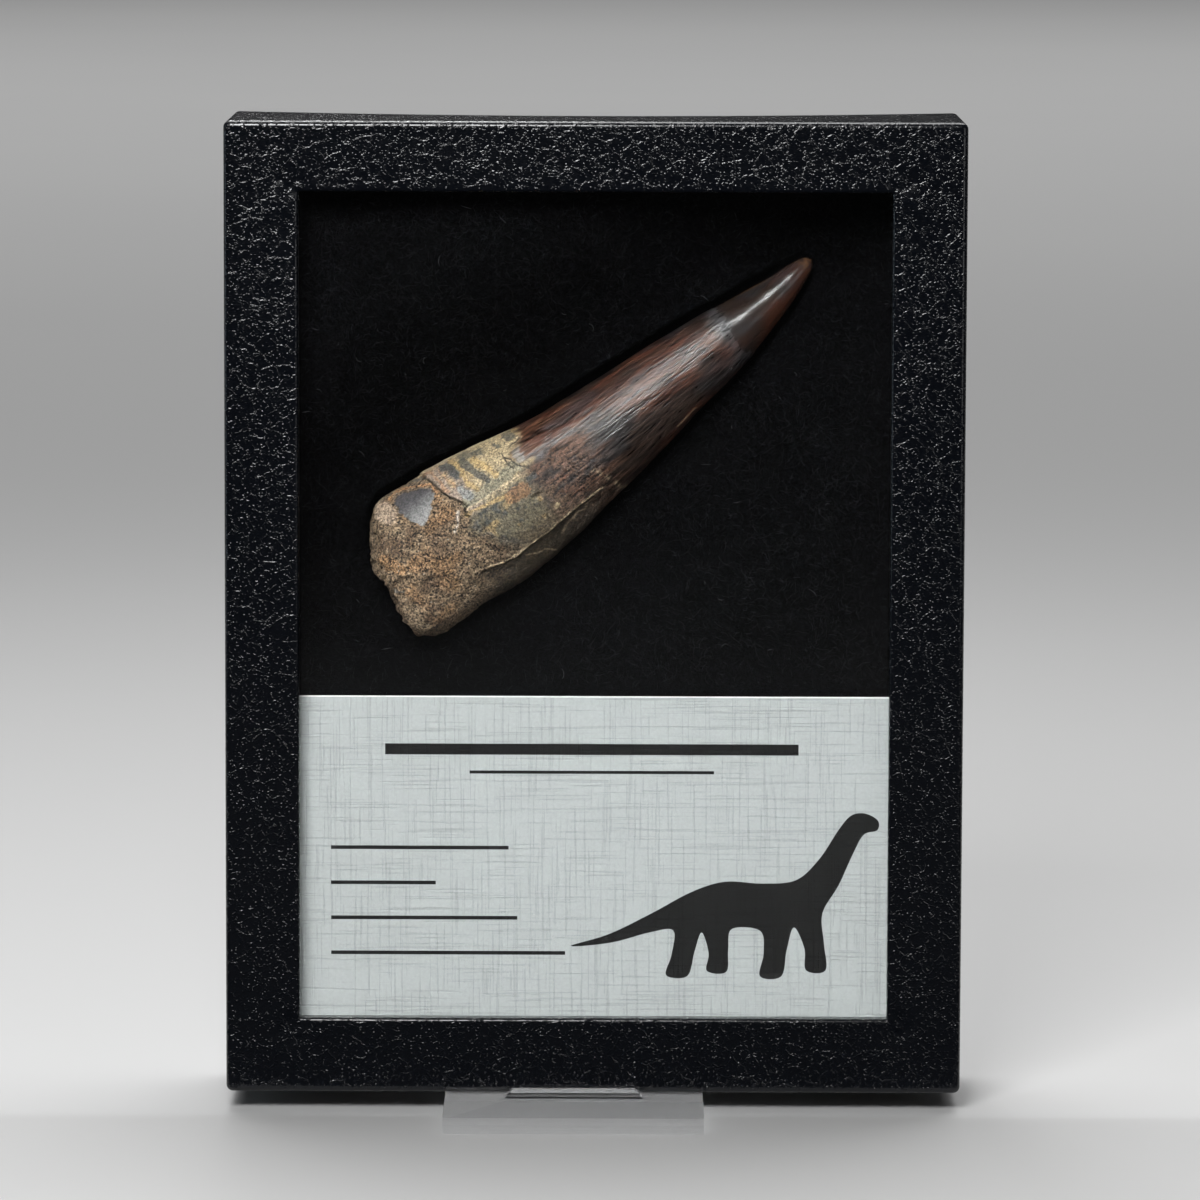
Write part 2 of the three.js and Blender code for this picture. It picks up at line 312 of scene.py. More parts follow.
def leatherette():
    """Black embossed paper: pebbled grain and broken veins that catch the light."""
    finish = Finish("leatherette")
    where = finish.place()
    bent = finish.node("ShaderNodeVectorMath", {"operation": "MULTIPLY_ADD"},
                       {0: finish.node("ShaderNodeTexNoise", None, {"Vector": where, "Scale": 1.3}, 1),
                        1: (0.9, 0.9, 0.9), 2: where})
    veins = finish.fade(finish.cells(bent, 0.58, feature="DISTANCE_TO_EDGE"), 0.0, 0.07, 1.0, 0.0)
    veins = veins * finish.fade(finish.noise(where, 1.9, 2.0), 0.44, 0.54)
    rise = finish.fade(finish.cells(where, 2.9), 0.0, 0.36, 1.0, 0.0)
    pebbles = rise * (2 - rise) * finish.fade(finish.noise(where, 1.4, 2.0), 0.38, 0.58, 0.1, 1.0)
    fine = finish.noise(where, 5.5, 2.0, 0.5)
    normal = finish.bump(pebbles + veins * 0.75 + fine * 0.2, 0.035, 1.0)
    tone = finish.mix(finish.fade(fine, 0.35, 0.7), (0.0014, 0.0019, 0.0032), (0.0030, 0.0040, 0.0066))
    rough = finish.fade(finish.noise(where, 2.2, 2.0), 0.3, 0.7, 0.13, 0.20)
    return finish.finished(finish.surface(tone, rough, Specular_IOR_Level=0.55, Normal=normal))


def clear(name, colour, roughness, refraction):
    """A clear solid that lets lamps shine through."""
    finish = Finish(name)
    shader = finish.surface(colour, roughness, IOR=refraction, Transmission_Weight=1.0)
    open_way = finish.node("ShaderNodeBsdfTransparent")
    is_shadow = finish.node("ShaderNodeLightPath", output="Is Shadow Ray")
    mix = finish.node("ShaderNodeMixShader", None, {0: is_shadow, 1: shader, 2: open_way})
    return finish.finished(mix)


def black_fibre():
    """Matt black felted fibre, a little lighter in broad random patches."""
    finish = Finish("fibre")
    where = finish.place()
    fuzz = finish.noise(where, 3.2, 5.0, 0.75, 0.8)
    lighter_patches = finish.noise(where, 0.35, 3.0, 0.6)
    tone = finish.mix(finish.fade(fuzz, 0.46, 0.64), (0.0001, 0.0001, 0.0001), (0.0070, 0.0072, 0.0084))
    tone = finish.mix(finish.fade(lighter_patches, 0.4, 0.7, 0.0, 0.25), tone, (0.0040, 0.0041, 0.0046))
    normal = finish.bump(fuzz, 0.35, 0.8)
    return finish.finished(finish.surface(tone, 0.95, Specular_IOR_Level=0.03, Normal=normal))


def strand(name, colour):
    """Plain matt strands of one colour."""
    finish = Finish(name)
    where = finish.place()
    tone = finish.mix(finish.noise(where, 1.5, 1.0), colour, tuple(0.55 * share for share in colour))
    return finish.finished(finish.surface(tone, 0.7, Specular_IOR_Level=0.3))


def linen(name, colour):
    """Card pressed with thin uneven threads both ways, painted darker in their grooves as painted shade, on
    which print takes the same relief.
    """
    finish = Finish(name)
    where = finish.place()
    level = finish.noise(finish.place((0.12, 1, 5.6)), 1.0, 1.0, 0.5)
    upright = finish.noise(finish.place((5.6, 1, 0.12)), 1.0, 1.0, 0.5)
    threads = finish.fade(level, 0.34, 0.42, 1.0, 0.0) + finish.fade(upright, 0.34, 0.42, 1.0, 0.0)
    pulp = finish.noise(where, 4.0, 3.0, 0.7)
    # The threads are painted darker as painted shade in their pressed grooves; the pulp varies the tone at
    # random.
    dark = threads * 0.17 + finish.fade(pulp, 0.35, 0.65, 0.16, 0.0)
    tone = finish.mix(dark, colour, tuple(0.35 * share for share in colour))
    normal = finish.bump(threads * -0.6 + pulp * 0.4, 0.06, 0.8)
    return finish.finished(finish.surface(tone, 0.8, Specular_IOR_Level=0.12, Normal=normal))


def pale_core_and_edge_highlight():
    """The paler inside of the card, seen at its cut edge, made paler still as a painted highlight where
    that edge catches the light.
    """
    finish = Finish("pale_core_and_edge_highlight")
    tone = finish.mix(finish.noise(finish.place(), 1.5, 3.0), (0.86, 0.87, 0.88), (0.7, 0.71, 0.72))
    return finish.finished(finish.surface(tone, 0.7))


def fossil():
    """The tooth: tint, grain, enamel and gloss are stored on its points, and fine relief is added. Its
    colour is also made darker in the relief's pits and wrinkle valleys and lighter on raised grains and
    wrinkle crests, as painted shade and highlight.
    """
    finish = Finish("fossil")

    def stored(name):
        return finish.node("ShaderNodeAttribute", {"attribute_name": name}, output="Fac")

    tint = finish.node("ShaderNodeAttribute", {"attribute_name": "tint"}, output="Color")
    grain, enamel, gloss = stored("grain"), stored("enamel"), stored("gloss")
    where = finish.place()
    tilt = (0.0, TOOTH_TILT, 0.0)
    grit = finish.noise(where, 3.9, 2.0, 0.75)
    specks = finish.noise(where, 1.7, 4.0, 0.7)
    wrinkle = finish.noise(finish.place((0.26, 3.4, 3.4), tilt), 1.0, 2.0, 0.6)
    ridge = finish.noise(finish.place((0.1, 1.3, 1.3), tilt), 1.0, 2.0, 0.5)
    # Painted shade and glints: the grain's colour follows the same grit as its bump, darker in the pits and
    # lighter on raised grains, over the grain's own random tone.
    painted_pit_shade_and_grain_tone = finish.fade(grit * 0.75 + specks * 0.25, 0.41, 0.60, -0.93, 1.3)
    painted_pit_shade_and_grain_tone = painted_pit_shade_and_grain_tone + finish.fade(finish.noise(where, 4.6, 1.0), 0.55, 0.68, -0.05, 1.5)
    # Painted shade and highlight: the enamel's colour is darker in the wrinkle valleys and lighter on their
    # crests, following the wrinkle bump.
    painted_wrinkle_light_and_shade = finish.fade(wrinkle * 0.75 + ridge * 0.25, 0.40, 0.60, -0.75, 1.1)
    # light scales the tint by this painted shade and highlight and by the grain's own tone.
    light = 1 + painted_pit_shade_and_grain_tone * grain + painted_wrinkle_light_and_shade * enamel
    shade = finish.node("ShaderNodeVectorMath", {"operation": "SCALE"}, {0: tint, "Scale": light})
    chosen = finish.fade(finish.cells(where, 3.0, "Color"), 0.84, 0.88)
    glint = chosen * finish.fade(finish.cells(where, 3.0), 0.20, 0.32, 1.0, 0.0)
    shade = finish.mix(glint * finish.fade(grain, 0.5, 0.9, 0.0, 0.8), shade, (0.42, 0.37, 0.30))
    height = wrinkle * enamel * 0.55 + ridge * enamel * 0.2
    height = height + (grit + specks * 0.6) * (grain * 1.5 + 0.004)
    normal = finish.bump(height, 0.2, 1.0)
    rough = finish.fade(wrinkle, 0.3, 0.7, -0.05, 0.07) * enamel + gloss
    return finish.finished(finish.surface(shade, rough, Specular_IOR_Level=0.5, Normal=normal))


def tray_paper():
    """Smooth black lining paper."""
    finish = Finish("tray_paper")
    where = finish.place()
    pulp = finish.noise(where, 0.7, 4.0, 0.6)
    tone = finish.mix(finish.fade(pulp, 0.3, 0.7), (0.010, 0.010, 0.011), (0.017, 0.017, 0.019))
    normal = finish.bump(finish.noise(where, 2.5, 3.0), 0.03, 0.7)
    return finish.finished(finish.surface(tone, 0.6, Normal=normal))


FLOOR_CLOUDS = 0.002


def pale_floor():
    """Plain pale table top."""
    finish = Finish("floor")
    clouds = finish.noise(finish.place(), FLOOR_CLOUDS, 2.0)
    tone = finish.mix(clouds, (0.60, 0.60, 0.60), (0.64, 0.64, 0.635))
    return finish.finished(finish.surface(tone, 0.6, Specular_IOR_Level=0.2))


# Case: rings of rounded rectangles, each at its own place along the profile


def rounded_rectangles(half_width, half_height, radius, per_side, per_corner):
    """Corner arcs joined by straight sides: one row of points for each rectangle."""
    corners = []
    for turn, (side_x, side_z) in enumerate(((1, 1), (-1, 1), (-1, -1), (1, -1))):
        angle = (np.linspace(0, 1, per_corner) + turn) * np.pi / 2
        x = side_x * (half_width - radius) + radius * np.cos(angle)
        z = side_z * (half_height - radius) + radius * np.sin(angle)
        corners.append((x, z))
    share = (1 - np.cos(np.linspace(0, np.pi, per_side + 2)[1:-1])) / 2
    x_runs, z_runs = [], []
    for turn in range(4):
        here, ahead = corners[turn], corners[(turn + 1) % 4]
        for runs, start, end in ((x_runs, here[0], ahead[0]), (z_runs, here[1], ahead[1])):
            runs.append(start)
            runs.append(start[:, -1:] + (end[:, :1] - start[:, -1:]) * share)
    return np.hstack(x_runs), np.hstack(z_runs)


def ring_rows(rows, per_side, per_corner):
    """Points for rows of (half width, half height, middle height, corner radius, depth)."""
    columns = np.array(rows, float).T[:, :, None]
    half_width, half_height, middle, radius, depth = columns
    x, z = rounded_rectangles(half_width, half_height, radius, per_side, per_corner)
    return np.stack([x, np.broadcast_to(depth, x.shape), z + middle], -1)


def edge_arc(steps):
    """Shares of a rounded edge, from its start to its end, as (sideways, forward)."""
    angle = np.linspace(0, np.pi / 2, steps)
    return zip(1 - np.cos(angle), 1 - np.sin(angle))


# Lid: edge and corner radii, the wall's bow, and the folds of paper at the window's corners
LID_EDGE = 0.55
LID_CORNER = 0.75
WINDOW_EDGE = 0.4
WINDOW_CORNER = 0.15
BACK_EDGE = 0.35
INNER_CORNER = 0.2
WALL_BOW = 0.45
WALL_BAND = (0.98, 0.995)
FOLD_MIDDLE = 1.2
FOLD_REACH = (2.6, 0.4)
FOLD_HEIGHT = 0.12
TUCK_REACH = (1.9, 1.1)
TUCK_SHIFT = 0.16
EDGE_STEPS = 6
BORDER_ROWS = 30
WALL_ROWS = 16
LID_SIDE_POINTS = 120
LID_CORNER_POINTS = 6


def make_lid():
    """The profile runs from the window's inner edge over the border, down the wall and back inside."""
    half = np.array([(LID_X[1] - LID_X[0]) / 2, (LID_Z[1] - LID_Z[0]) / 2])
    window = np.array([WINDOW_WIDTH / 2, WINDOW_HEIGHT / 2])
    window_middle = CASE_MIDDLE + WINDOW_RISE
    border_back = CASE_FRONT + BORDER_THICKNESS

    def at_window(grow, depth):
        return (*(window + grow), window_middle, WINDOW_CORNER + grow, depth)

    def at_outside(shrink, depth):
        return (*(half - shrink), CASE_MIDDLE, max(LID_CORNER - shrink, INNER_CORNER), depth)

    rounding = list(edge_arc(EDGE_STEPS))
    rows = [at_window(0, border_back)]
    rows += [at_window(WINDOW_EDGE * a, CASE_FRONT + WINDOW_EDGE * b) for a, b in rounding]
    inner = np.array(at_window(WINDOW_EDGE, CASE_FRONT))
    outer = np.array(at_outside(LID_EDGE, CASE_FRONT))
    rows += [tuple(inner + (outer - inner) * share) for share in np.linspace(0, 1, BORDER_ROWS)[1:-1]]
    rows += [at_outside(LID_EDGE * a, CASE_FRONT + LID_EDGE * b) for a, b in reversed(rounding)]
    wall_start = len(rows)
    wall = np.linspace(CASE_FRONT + LID_EDGE, CASE_BACK - BACK_EDGE, WALL_ROWS)[1:-1]
    rows += [at_outside(0, depth) for depth in wall]
    back_edge = [(BACK_EDGE * a, CASE_BACK - BACK_EDGE * b) for a, b in rounding]
    rows += [at_outside(shrink, depth) for shrink, depth in back_edge]
    wall_end = len(rows)
    rows += [at_outside(BOARD_THICKNESS - shrink, depth) for shrink, depth in reversed(back_edge)]
    rows += [at_outside(BOARD_THICKNESS, border_back)]
    points = ring_rows(rows, LID_SIDE_POINTS, LID_CORNER_POINTS)

    x, y, z = points[..., 0], points[..., 1], points[..., 2]
    on_wall = np.zeros(points.shape[:2])
    on_wall[wall_start:wall_end] = 1
    depth_share = smoothstep(y, CASE_FRONT, CASE_BACK)
    up = (z - CASE_MIDDLE) / half[1]
    across = x / half[0]
    bow_z = WALL_BOW * depth_share * (1 - across ** 2) * smoothstep(abs(up), *WALL_BAND)
    bow_x = WALL_BOW * depth_share * (1 - up ** 2) * smoothstep(abs(across), *WALL_BAND)
    z -= on_wall * np.sign(up) * bow_z
    x -= on_wall * np.sign(across) * bow_x

    on_front = np.zeros(points.shape[:2])
    on_front[1:wall_start] = 1
    y += on_front * (0.05 + 0.05 * noise(points, 17.0, 3) + 0.02 * noise(points, 4.0, 4))
    fold_middle = window + FOLD_MIDDLE
    corner_reach = np.hypot(abs(x) - fold_middle[0], abs(z - window_middle) - fold_middle[1])
    fold = smoothstep(corner_reach, *FOLD_REACH)
    y += on_front * fold * FOLD_HEIGHT * (1 + noise(points, 0.8, 8))
    tuck = smoothstep(corner_reach, *TUCK_REACH) * on_front * TUCK_SHIFT
    x += tuck * noise(points, 0.7, 21)
    z += tuck * noise(points, 0.7, 22)

    count, around = points.shape[:2]
    faces = grid_faces(count, around, wrap_rows=True)
    lid = make_piece("lid_cover", points.reshape(-1, 3), faces, [leatherette()])
    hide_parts("case_lid")


# Tray: radii, and how far out each ring of its flat faces lies
TRAY_CORNER = 0.5
TRAY_INNER_CORNER = 0.1
TRAY_EDGE = 0.25
TRAY_RIM = 0.2
TRAY_SIDE_POINTS = 24
TRAY_CORNER_POINTS = 3
FLOOR_SHARES = (0.02, 0.4, 0.8)
BACK_SHARES = (0.98, 0.8, 0.6, 0.4, 0.2, 0.02)


def make_tray():
    """Rings from the middle of the floor out, up the inner wall, over the rim and round the back."""
    half = np.array([(TRAY_X[1] - TRAY_X[0]) / 2, (TRAY_Z[1] - TRAY_Z[0]) / 2])
    rim, back = TRAY_Y
    floor = back - BOARD_THICKNESS

    def at(shrink, depth):
        return (*(half - shrink), CASE_MIDDLE, max(TRAY_CORNER - shrink, TRAY_INNER_CORNER), depth)

    def flat_ring(reach, corner, depth):
        return (*reach, CASE_MIDDLE, corner, depth)

    rows = [flat_ring(half * share, 0.01, floor) for share in FLOOR_SHARES]
    rows += [at(BOARD_THICKNESS, floor), at(BOARD_THICKNESS, rim + TRAY_RIM)]
    rows += [at(BOARD_THICKNESS - TRAY_RIM, rim), at(TRAY_RIM, rim), at(0, rim + TRAY_RIM)]
    rows += [at(TRAY_EDGE * a, back - TRAY_EDGE * b) for a, b in edge_arc(4)]
    rows += [
        flat_ring((half - TRAY_EDGE) * share, TRAY_INNER_CORNER * share, back) for share in BACK_SHARES]
    points = ring_rows(rows, TRAY_SIDE_POINTS, TRAY_CORNER_POINTS)
    count, around = points.shape[:2]
    poles = np.array([[0, floor, CASE_MIDDLE], [0, back, CASE_MIDDLE]])
    flat = np.vstack([points.reshape(-1, 3), poles])
    tray = make_piece("tray_board", flat, closed_faces(count, around), [tray_paper()])
    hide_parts("case_tray")


# Tooth

TOOTH_BASE = np.array([-22.04, 59.99])
TOOTH_TILT = math.radians(37.5)
TOOTH_AXIS_DEPTH = 1.0
TOOTH_SECTIONS = np.array([
    # upper edge along and across, lower edge along and across, half thickness
    (-1.7, -0.6, -1.7, -0.6, 0),
    (-0.9, 4.0, -2.8, -5.4, 4.7),
    (2.2, 7.4, -1.5, -8.3, 6.3),
    (6.0, 7.4, 3.6, -8.7, 6.6),
    (9.9, 7.0, 8.2, -8.85, 6.5),
    (14.2, 6.15, 12.9, -8.8, 6.25),
    (18.6, 5.25, 17.6, -8.55, 5.95),
    (23.2, 4.5, 22.6, -8.2, 5.6),
    (28.0, 4.05, 27.8, -7.75, 5.2),
    (33.0, 3.6, 33.0, -6.95, 4.75),
    (38.2, 3.15, 38.2, -6.0, 4.25),
    (43.4, 2.6, 43.4, -5.35, 3.7),
    (48.4, 1.9, 48.4, -4.35, 3.0),
    (52.6, 1.3, 52.6, -3.15, 2.2),
    (55.9, 0.85, 56.1, -1.8, 1.4),
    (57.7, 0.5, 57.8, -0.95, 0.8),
    (58.3, -0.15, 58.3, -0.15, 0),
])
ROOT_RINGS = 206
CROWN_RINGS = 118
ROOT_SHARE = 0.42
TOOTH_AROUND = 304
FRONT_CROWDING = 0.45
CLOSING_SPAN = 2.4
SEEN_LEAN = (0.055, 0.071)
CROWN_BORDER = 18.4
TIP_BORDER = (45.7, 47.3)
BROKEN_END = (1 / 16, 3 / 16)

# Relief: broad waves, then heights and depths, and (width, depth) of cracks
WAVES = 9
WAVE_LENGTH = 11.0
WAVE_SHORTENING = 1.28
WAVE_TURN = 2.4
NECK_SWELL = 0.2
TIP_SINK = 0.13
LEDGE_RISE = 0.4
LEDGE_SINK = 0.28
LUMP_HEIGHT = 0.07
GRAIN_HEIGHT = 0.055
PIT_DEPTH = 0.14
FLAKE_DEPTH = 0.08
WRINKLE_HEIGHT = 0.014
FLUTE_HEIGHT = 0.03
COLLAR_CRACK = (0.2, 0.14)
CROWN_CRACK = (0.15, 0.1)

FRONT_SPOTS = (
    # middle along and across, radius along and across, height
    (2.4, 5.6, 1.9, 2.0, 0.15),
    (-0.6, 1.6, 2.2, 2.4, 0.3),
    (-0.6, -2.0, 1.8, 1.5, -0.5),
    (4.6, -1.6, 3.4, 2.2, 0.12),
    (-1.2, -6.2, 2.4, 1.7, 0.4),
    (1.9, -3.6, 1.8, 1.3, -0.25),
    (17.5, -2.72, 0.9, 0.45, -0.2),
)
BACK_SPOTS = (
    (3.4, 3.4, 3.6, 2.6, -0.6),
    (0.4, -1.2, 2.8, 2.6, 0.7),
    (7.6, -2.4, 3.4, 2.6, 0.45),
    (12.8, 2.6, 4.2, 2.4, -0.35),
    (5.0, -6.2, 3.0, 2.0, 0.5),
)

COLLAR_LINE = (
    (8.0, 8.4), (8.8, 6.4), (9.1, 5.5), (9.2, 4.7), (9.45, 3.8), (9.6, 3.2), (10.05, 2.4), (10.4, 1.9),
    (10.6, 1.1), (9.85, 0.5), (10.15, 0.1),
)
ROCK_EDGE = COLLAR_LINE + (
    (9.4, -1.0), (10.4, -3.2), (11.6, -5.0), (12.0, -6.3), (11.0, -7.0), (9.0, -9.0),
)
LEDGE_LINE = (
    (4.0, -5.6), (7.2, -5.6), (8.5, -5.9), (10.2, -6.4), (11.5, -6.57), (13.8, -6.49), (16.3, -6.61),
    (18.5, -6.43), (20.85, -6.4), (24.0, -6.4),
)
FLAKE_OUTLINE = (
    (4.3, 6.6), (4.9, 6.95), (5.7, 6.95), (7.15, 6.22), (8.4, 5.5), (8.65, 5.1), (8.47, 4.4), (7.32, 3.44),
    (6.0, 2.5), (5.5, 2.2), (5.15, 2.35), (4.39, 4.09), (4.0, 5.3),
)
CROWN_CRACKS = (
    ((18.33, 3.48), (19.25, 3.64), (20.0, 3.67)),
    ((17.2, 3.47), (17.24, 2.95), (17.67, 2.39), (17.77, 1.69), (18.09, 1.14), (18.6, 0.69), (18.73, 0.22)),
    ((17.2, 2.73), (17.18, 1.89), (17.32, 1.42)),
)


def spots(along, across, places):
    """Raised or sunk spots with soft edges."""
    total = np.zeros_like(along)
    for middle_along, middle_across, radius_along, radius_across, height in places:
        off_along, off_across = along - middle_along, across - middle_across
        reach = np.hypot(off_along / radius_along, off_across / radius_across)
        total += height * (1 - smoothstep(reach, 0.55, 1))
    return total


def swelling(along, across, depth):
    """A sum of waves in turned directions, each shorter and lower than the last."""
    total = np.zeros_like(along)
    for wave in range(WAVES):
        turn = WAVE_TURN * wave
        reach = along * math.cos(turn) + across * math.sin(turn) + depth * math.cos(1.7 * wave + 0.5)
        phase = 2 * np.pi * reach * WAVE_SHORTENING ** wave / WAVE_LENGTH + wave * wave
        total += np.sin(phase) / (1 + 0.6 * wave)
    return total


def line_distance(along, across, corners):
    """How far each point is from a line through these corners, in the tooth's own plane."""
    nearest = np.full(along.shape, 1e3)
    for (a0, c0), (a1, c1) in zip(corners[:-1], corners[1:]):
        run_a, run_c = a1 - a0, c1 - c0
        off_a, off_c = along - a0, across - c0
        share = np.clip((off_a * run_a + off_c * run_c) / (run_a ** 2 + run_c ** 2), 0, 1)
        nearest = np.minimum(nearest, np.hypot(off_a - share * run_a, off_c - share * run_c))
    return nearest


def inside_distance(along, across, corners):
    """How far each point is inside a closed outline, and negative outside it."""
    crossings = np.zeros(along.shape, dtype=int)
    for (a0, c0), (a1, c1) in zip(corners, corners[1:] + corners[:1]):
        spanned = (c0 > across) != (c1 > across)
        crossing = a0 + (across - c0) * (a1 - a0) / (c1 - c0 + 1e-9)
        crossings += spanned & (along < crossing)
    edge = line_distance(along, across, corners + corners[:1])
    return np.where(crossings % 2 == 1, edge, -edge)


def stroke(reach, width):
    """1 on a line and 0 beyond its width."""
    return 1 - smoothstep(reach, 0.3 * width, width)


class ToothSurface:
    """Where each point of the tooth lies: along, across and depth, and the masks that follow."""

    def __init__(self):
        root = np.linspace(0, ROOT_SHARE, ROOT_RINGS, endpoint=False)
        place = np.concatenate([root, np.linspace(ROOT_SHARE, 1, CROWN_RINGS)])[1:-1]
        section = catmull_rom(TOOTH_SECTIONS, place)[:, None, :]
        turn = np.linspace(0, 2 * np.pi, TOOTH_AROUND, endpoint=False)[None, :]
        self.angle = turn + FRONT_CROWDING * np.cos(turn)
        upper, lower = section[..., 0:2], section[..., 2:4]
        swing = ((1 + np.cos(self.angle)) / 2)[..., None]
        middle = lower + (upper - lower) * swing
        self.along, self.across = middle[..., 0], middle[..., 1]
        self.depth = np.maximum(section[..., 4], 0) * np.sin(self.angle)
        self.place = place[:, None]
        self.closing = np.minimum(1, np.hypot(*np.moveaxis(upper - lower, -1, 0)) / CLOSING_SPAN)
        self.solid = np.stack([self.along, self.across, self.depth], -1)
        self.set_masks()

    def set_masks(self):
        """Shares from 0 to 1, laid out in millimetres in the places at which the front is seen."""
        solid = self.solid
        self.seen_along = self.along - SEEN_LEAN[0] * self.depth
        self.seen_across = self.across - SEEN_LEAN[1] * self.depth
        wobble = 0.10 * noise(solid, 0.5, 81)
        self.wavering = self.seen_along + wobble, self.seen_across - wobble
        self.rough_along = self.seen_along + 0.16 * layered_noise(solid, 1.1, 4, 11)
        self.rough_across = self.seen_across + 0.16 * layered_noise(solid, 1.1, 4, 15)
        along, across = self.rough_along, self.rough_across
        self.front = smoothstep(self.depth, -0.5, 1.5)
        self.side = smoothstep(self.depth, -3.0, 0.0)

        edge = np.array(ROCK_EDGE[::-1])
        collar = np.interp(across, edge[:, 1], edge[:, 0])
        soft = 0.1 + 1.1 * (1 - smoothstep(across, -1.0, 0.2))
        past = (along - collar) / soft + 0.5 * layered_noise(solid, 0.8, 3, 35)
        self.rock = 1 - smoothstep(past, -1, 1)
        border = CROWN_BORDER + 0.05 * (across - 0.5) ** 2
        jag = 1.1 * noise(solid * (0.5, 1.6, 1.6), 1.0, 31)
        self.crown = smoothstep(along + jag - border, -0.6, 1.2)
        uneven = self.along + 0.5 * noise(solid * (0.3, 1, 1), 1.3, 43)
        self.tip = smoothstep(uneven, *TIP_BORDER)
        low = 1 - smoothstep(across + 0.6 * noise(solid, 1.6, 33), -0.3, 1.0)
        self.granular = low * smoothstep(along, 16.8, 19.0) * (1 - smoothstep(along, 22.5, 28.5))
        line = np.array(LEDGE_LINE)
        self.below = np.interp(self.seen_along, line[:, 0], line[:, 1]) - self.seen_across
        self.below += 0.08 * noise(solid, 0.6, 37)
        self.ledge_reach = smoothstep(self.seen_along, 4.5, 8.5)
        self.ledge_reach *= 1 - smoothstep(self.seen_along, 20.5, 26)
        self.facet = self.side * self.ledge_reach * smoothstep(self.below, 0.05, 0.3)
        flake_reach = inside_distance(along, across, FLAKE_OUTLINE) + 0.14 * noise(solid, 0.35, 41)
        self.flake = self.front * smoothstep(flake_reach, -0.05, 0.1)
        patch = np.hypot((along - 2.8) / 1.1, (across - 6.0) / 1.5)
        self.tan_patch = self.front * (1 - smoothstep(patch, 0.75, 1.1))
        self.grain = self.rock * (1 - 0.68 * self.flake) * (1 - 0.3 * self.tan_patch)
        self.grain += (1 - self.rock) * (0.55 * (1 - self.crown) + 0.03 * (1 - self.tip))
        self.grain = np.maximum(self.grain, 0.75 * self.granular) * (1 - 0.2 * self.facet)

    def groove(self, line, width, deep):
        """A crack of this width and depth that wavers about its line."""
        return self.front * deep * stroke(line_distance(*self.wavering, line), width)

    def relief(self):
        """Height above the plain loft: broad forms first, then cracks, pits and grains."""
        along, solid = self.along, self.solid
        uneven = 1 - smoothstep(along + 0.45 * self.across, 5.5, 9.5)
        height = NECK_SWELL * (1 - self.rock) * (1 - smoothstep(along, 15, 25))
        height -= TIP_SINK * self.tip * (1 - smoothstep(along, 50, 57))
        height += swelling(along, self.across, self.depth) * (0.02 + 0.06 * uneven)
        height += self.front * spots(self.seen_along, self.seen_across, FRONT_SPOTS)
        height += (1 - self.front) * spots(along, self.across, BACK_SPOTS)
        shelf = smoothstep(self.below, -0.05, 0.3) * (1 - smoothstep(self.below, 0.5, 2.2))
        outward = smoothstep(self.below, 0.9, 2.3)
        height += self.side * self.ledge_reach * (LEDGE_RISE * outward - LEDGE_SINK * shelf)

        grains = layered_noise(solid, 0.42, 2, 55)
        lumps = layered_noise(solid, 1.7, 3, 51)
        pits = smoothstep(noise(solid, 0.8, 61), 0.45, 0.85)
        height += self.grain * (LUMP_HEIGHT * lumps + GRAIN_HEIGHT * grains - PIT_DEPTH * pits)
        height -= self.flake * FLAKE_DEPTH
        wrinkles = layered_noise(solid * (0.16, 1, 1), 0.5, 2, 75)
        height += self.crown * (1 - 0.9 * self.tip) * WRINKLE_HEIGHT * wrinkles
        flutes = layered_noise(solid * (0.35, 1, 1), 1.6, 2, 71)
        height += (1 - self.rock) * (1 - 0.8 * self.tip) * FLUTE_HEIGHT * flutes

        height -= self.groove(COLLAR_LINE, *COLLAR_CRACK)
        for line in CROWN_CRACKS:
            height -= self.groove(line, *CROWN_CRACK)
        return height * self.closing

    def points(self):
        """The loft moved outwards by the relief, with a broken base and one more point for each end."""
        push = self.relief()
        near_base = 0.8 * np.clip(1 - 12 * self.place, 0, 1)
        ragged = 0.45 * noise(self.solid, 2.1, 171) + 0.4 * layered_noise(self.solid, 0.8, 2, 172)
        ragged = ragged * (1 - smoothstep(self.place, *BROKEN_END)) * self.closing
        along = self.along - push * near_base + ragged
        across = self.across + (push + 0.3 * ragged) * np.cos(self.angle)
        depth = self.depth + push * np.sin(self.angle)
        ends = TOOTH_SECTIONS[[0, -1]]
        along = np.append(along.ravel(), ends[:, 0])
        across = np.append(across.ravel(), ends[:, 1])
        depth = np.append(depth.ravel(), [0, 0])
        cosine, sine = math.cos(TOOTH_TILT), math.sin(TOOTH_TILT)
        return np.stack([
            TOOTH_BASE[0] + along * cosine - across * sine,
            TOOTH_AXIS_DEPTH - depth,
            TOOTH_BASE[1] + along * sine + across * cosine,
        ], -1)


SAND = np.array((0.140, 0.098, 0.061))
DARK_SAND = np.array((0.078, 0.050, 0.031))
PALE_SAND = np.array((0.225, 0.168, 0.110))
RUST_SAND = np.array((0.19, 0.108, 0.052))
TAN = np.array((0.36, 0.272, 0.202))
FLAKE_PAINTED_SHADE = np.array((0.060, 0.056, 0.060))
FLAKE_PAINTED_LIGHT = np.array((0.25, 0.247, 0.242))
ORANGE = np.array((0.33, 0.165, 0.075))
OCHRE = np.array((0.34, 0.235, 0.105))
PALE_OCHRE = np.array((0.32, 0.250, 0.150))
DARK_SLATE = np.array((0.042, 0.047, 0.047))
LIGHT_SLATE = np.array((0.19, 0.197, 0.192))
PINK_GREY = np.array((0.265, 0.205, 0.160))
GREY_GREEN = np.array((0.180, 0.165, 0.115))
OLIVE = np.array((0.108, 0.092, 0.060))
BROWN = np.array((0.080, 0.046, 0.031))
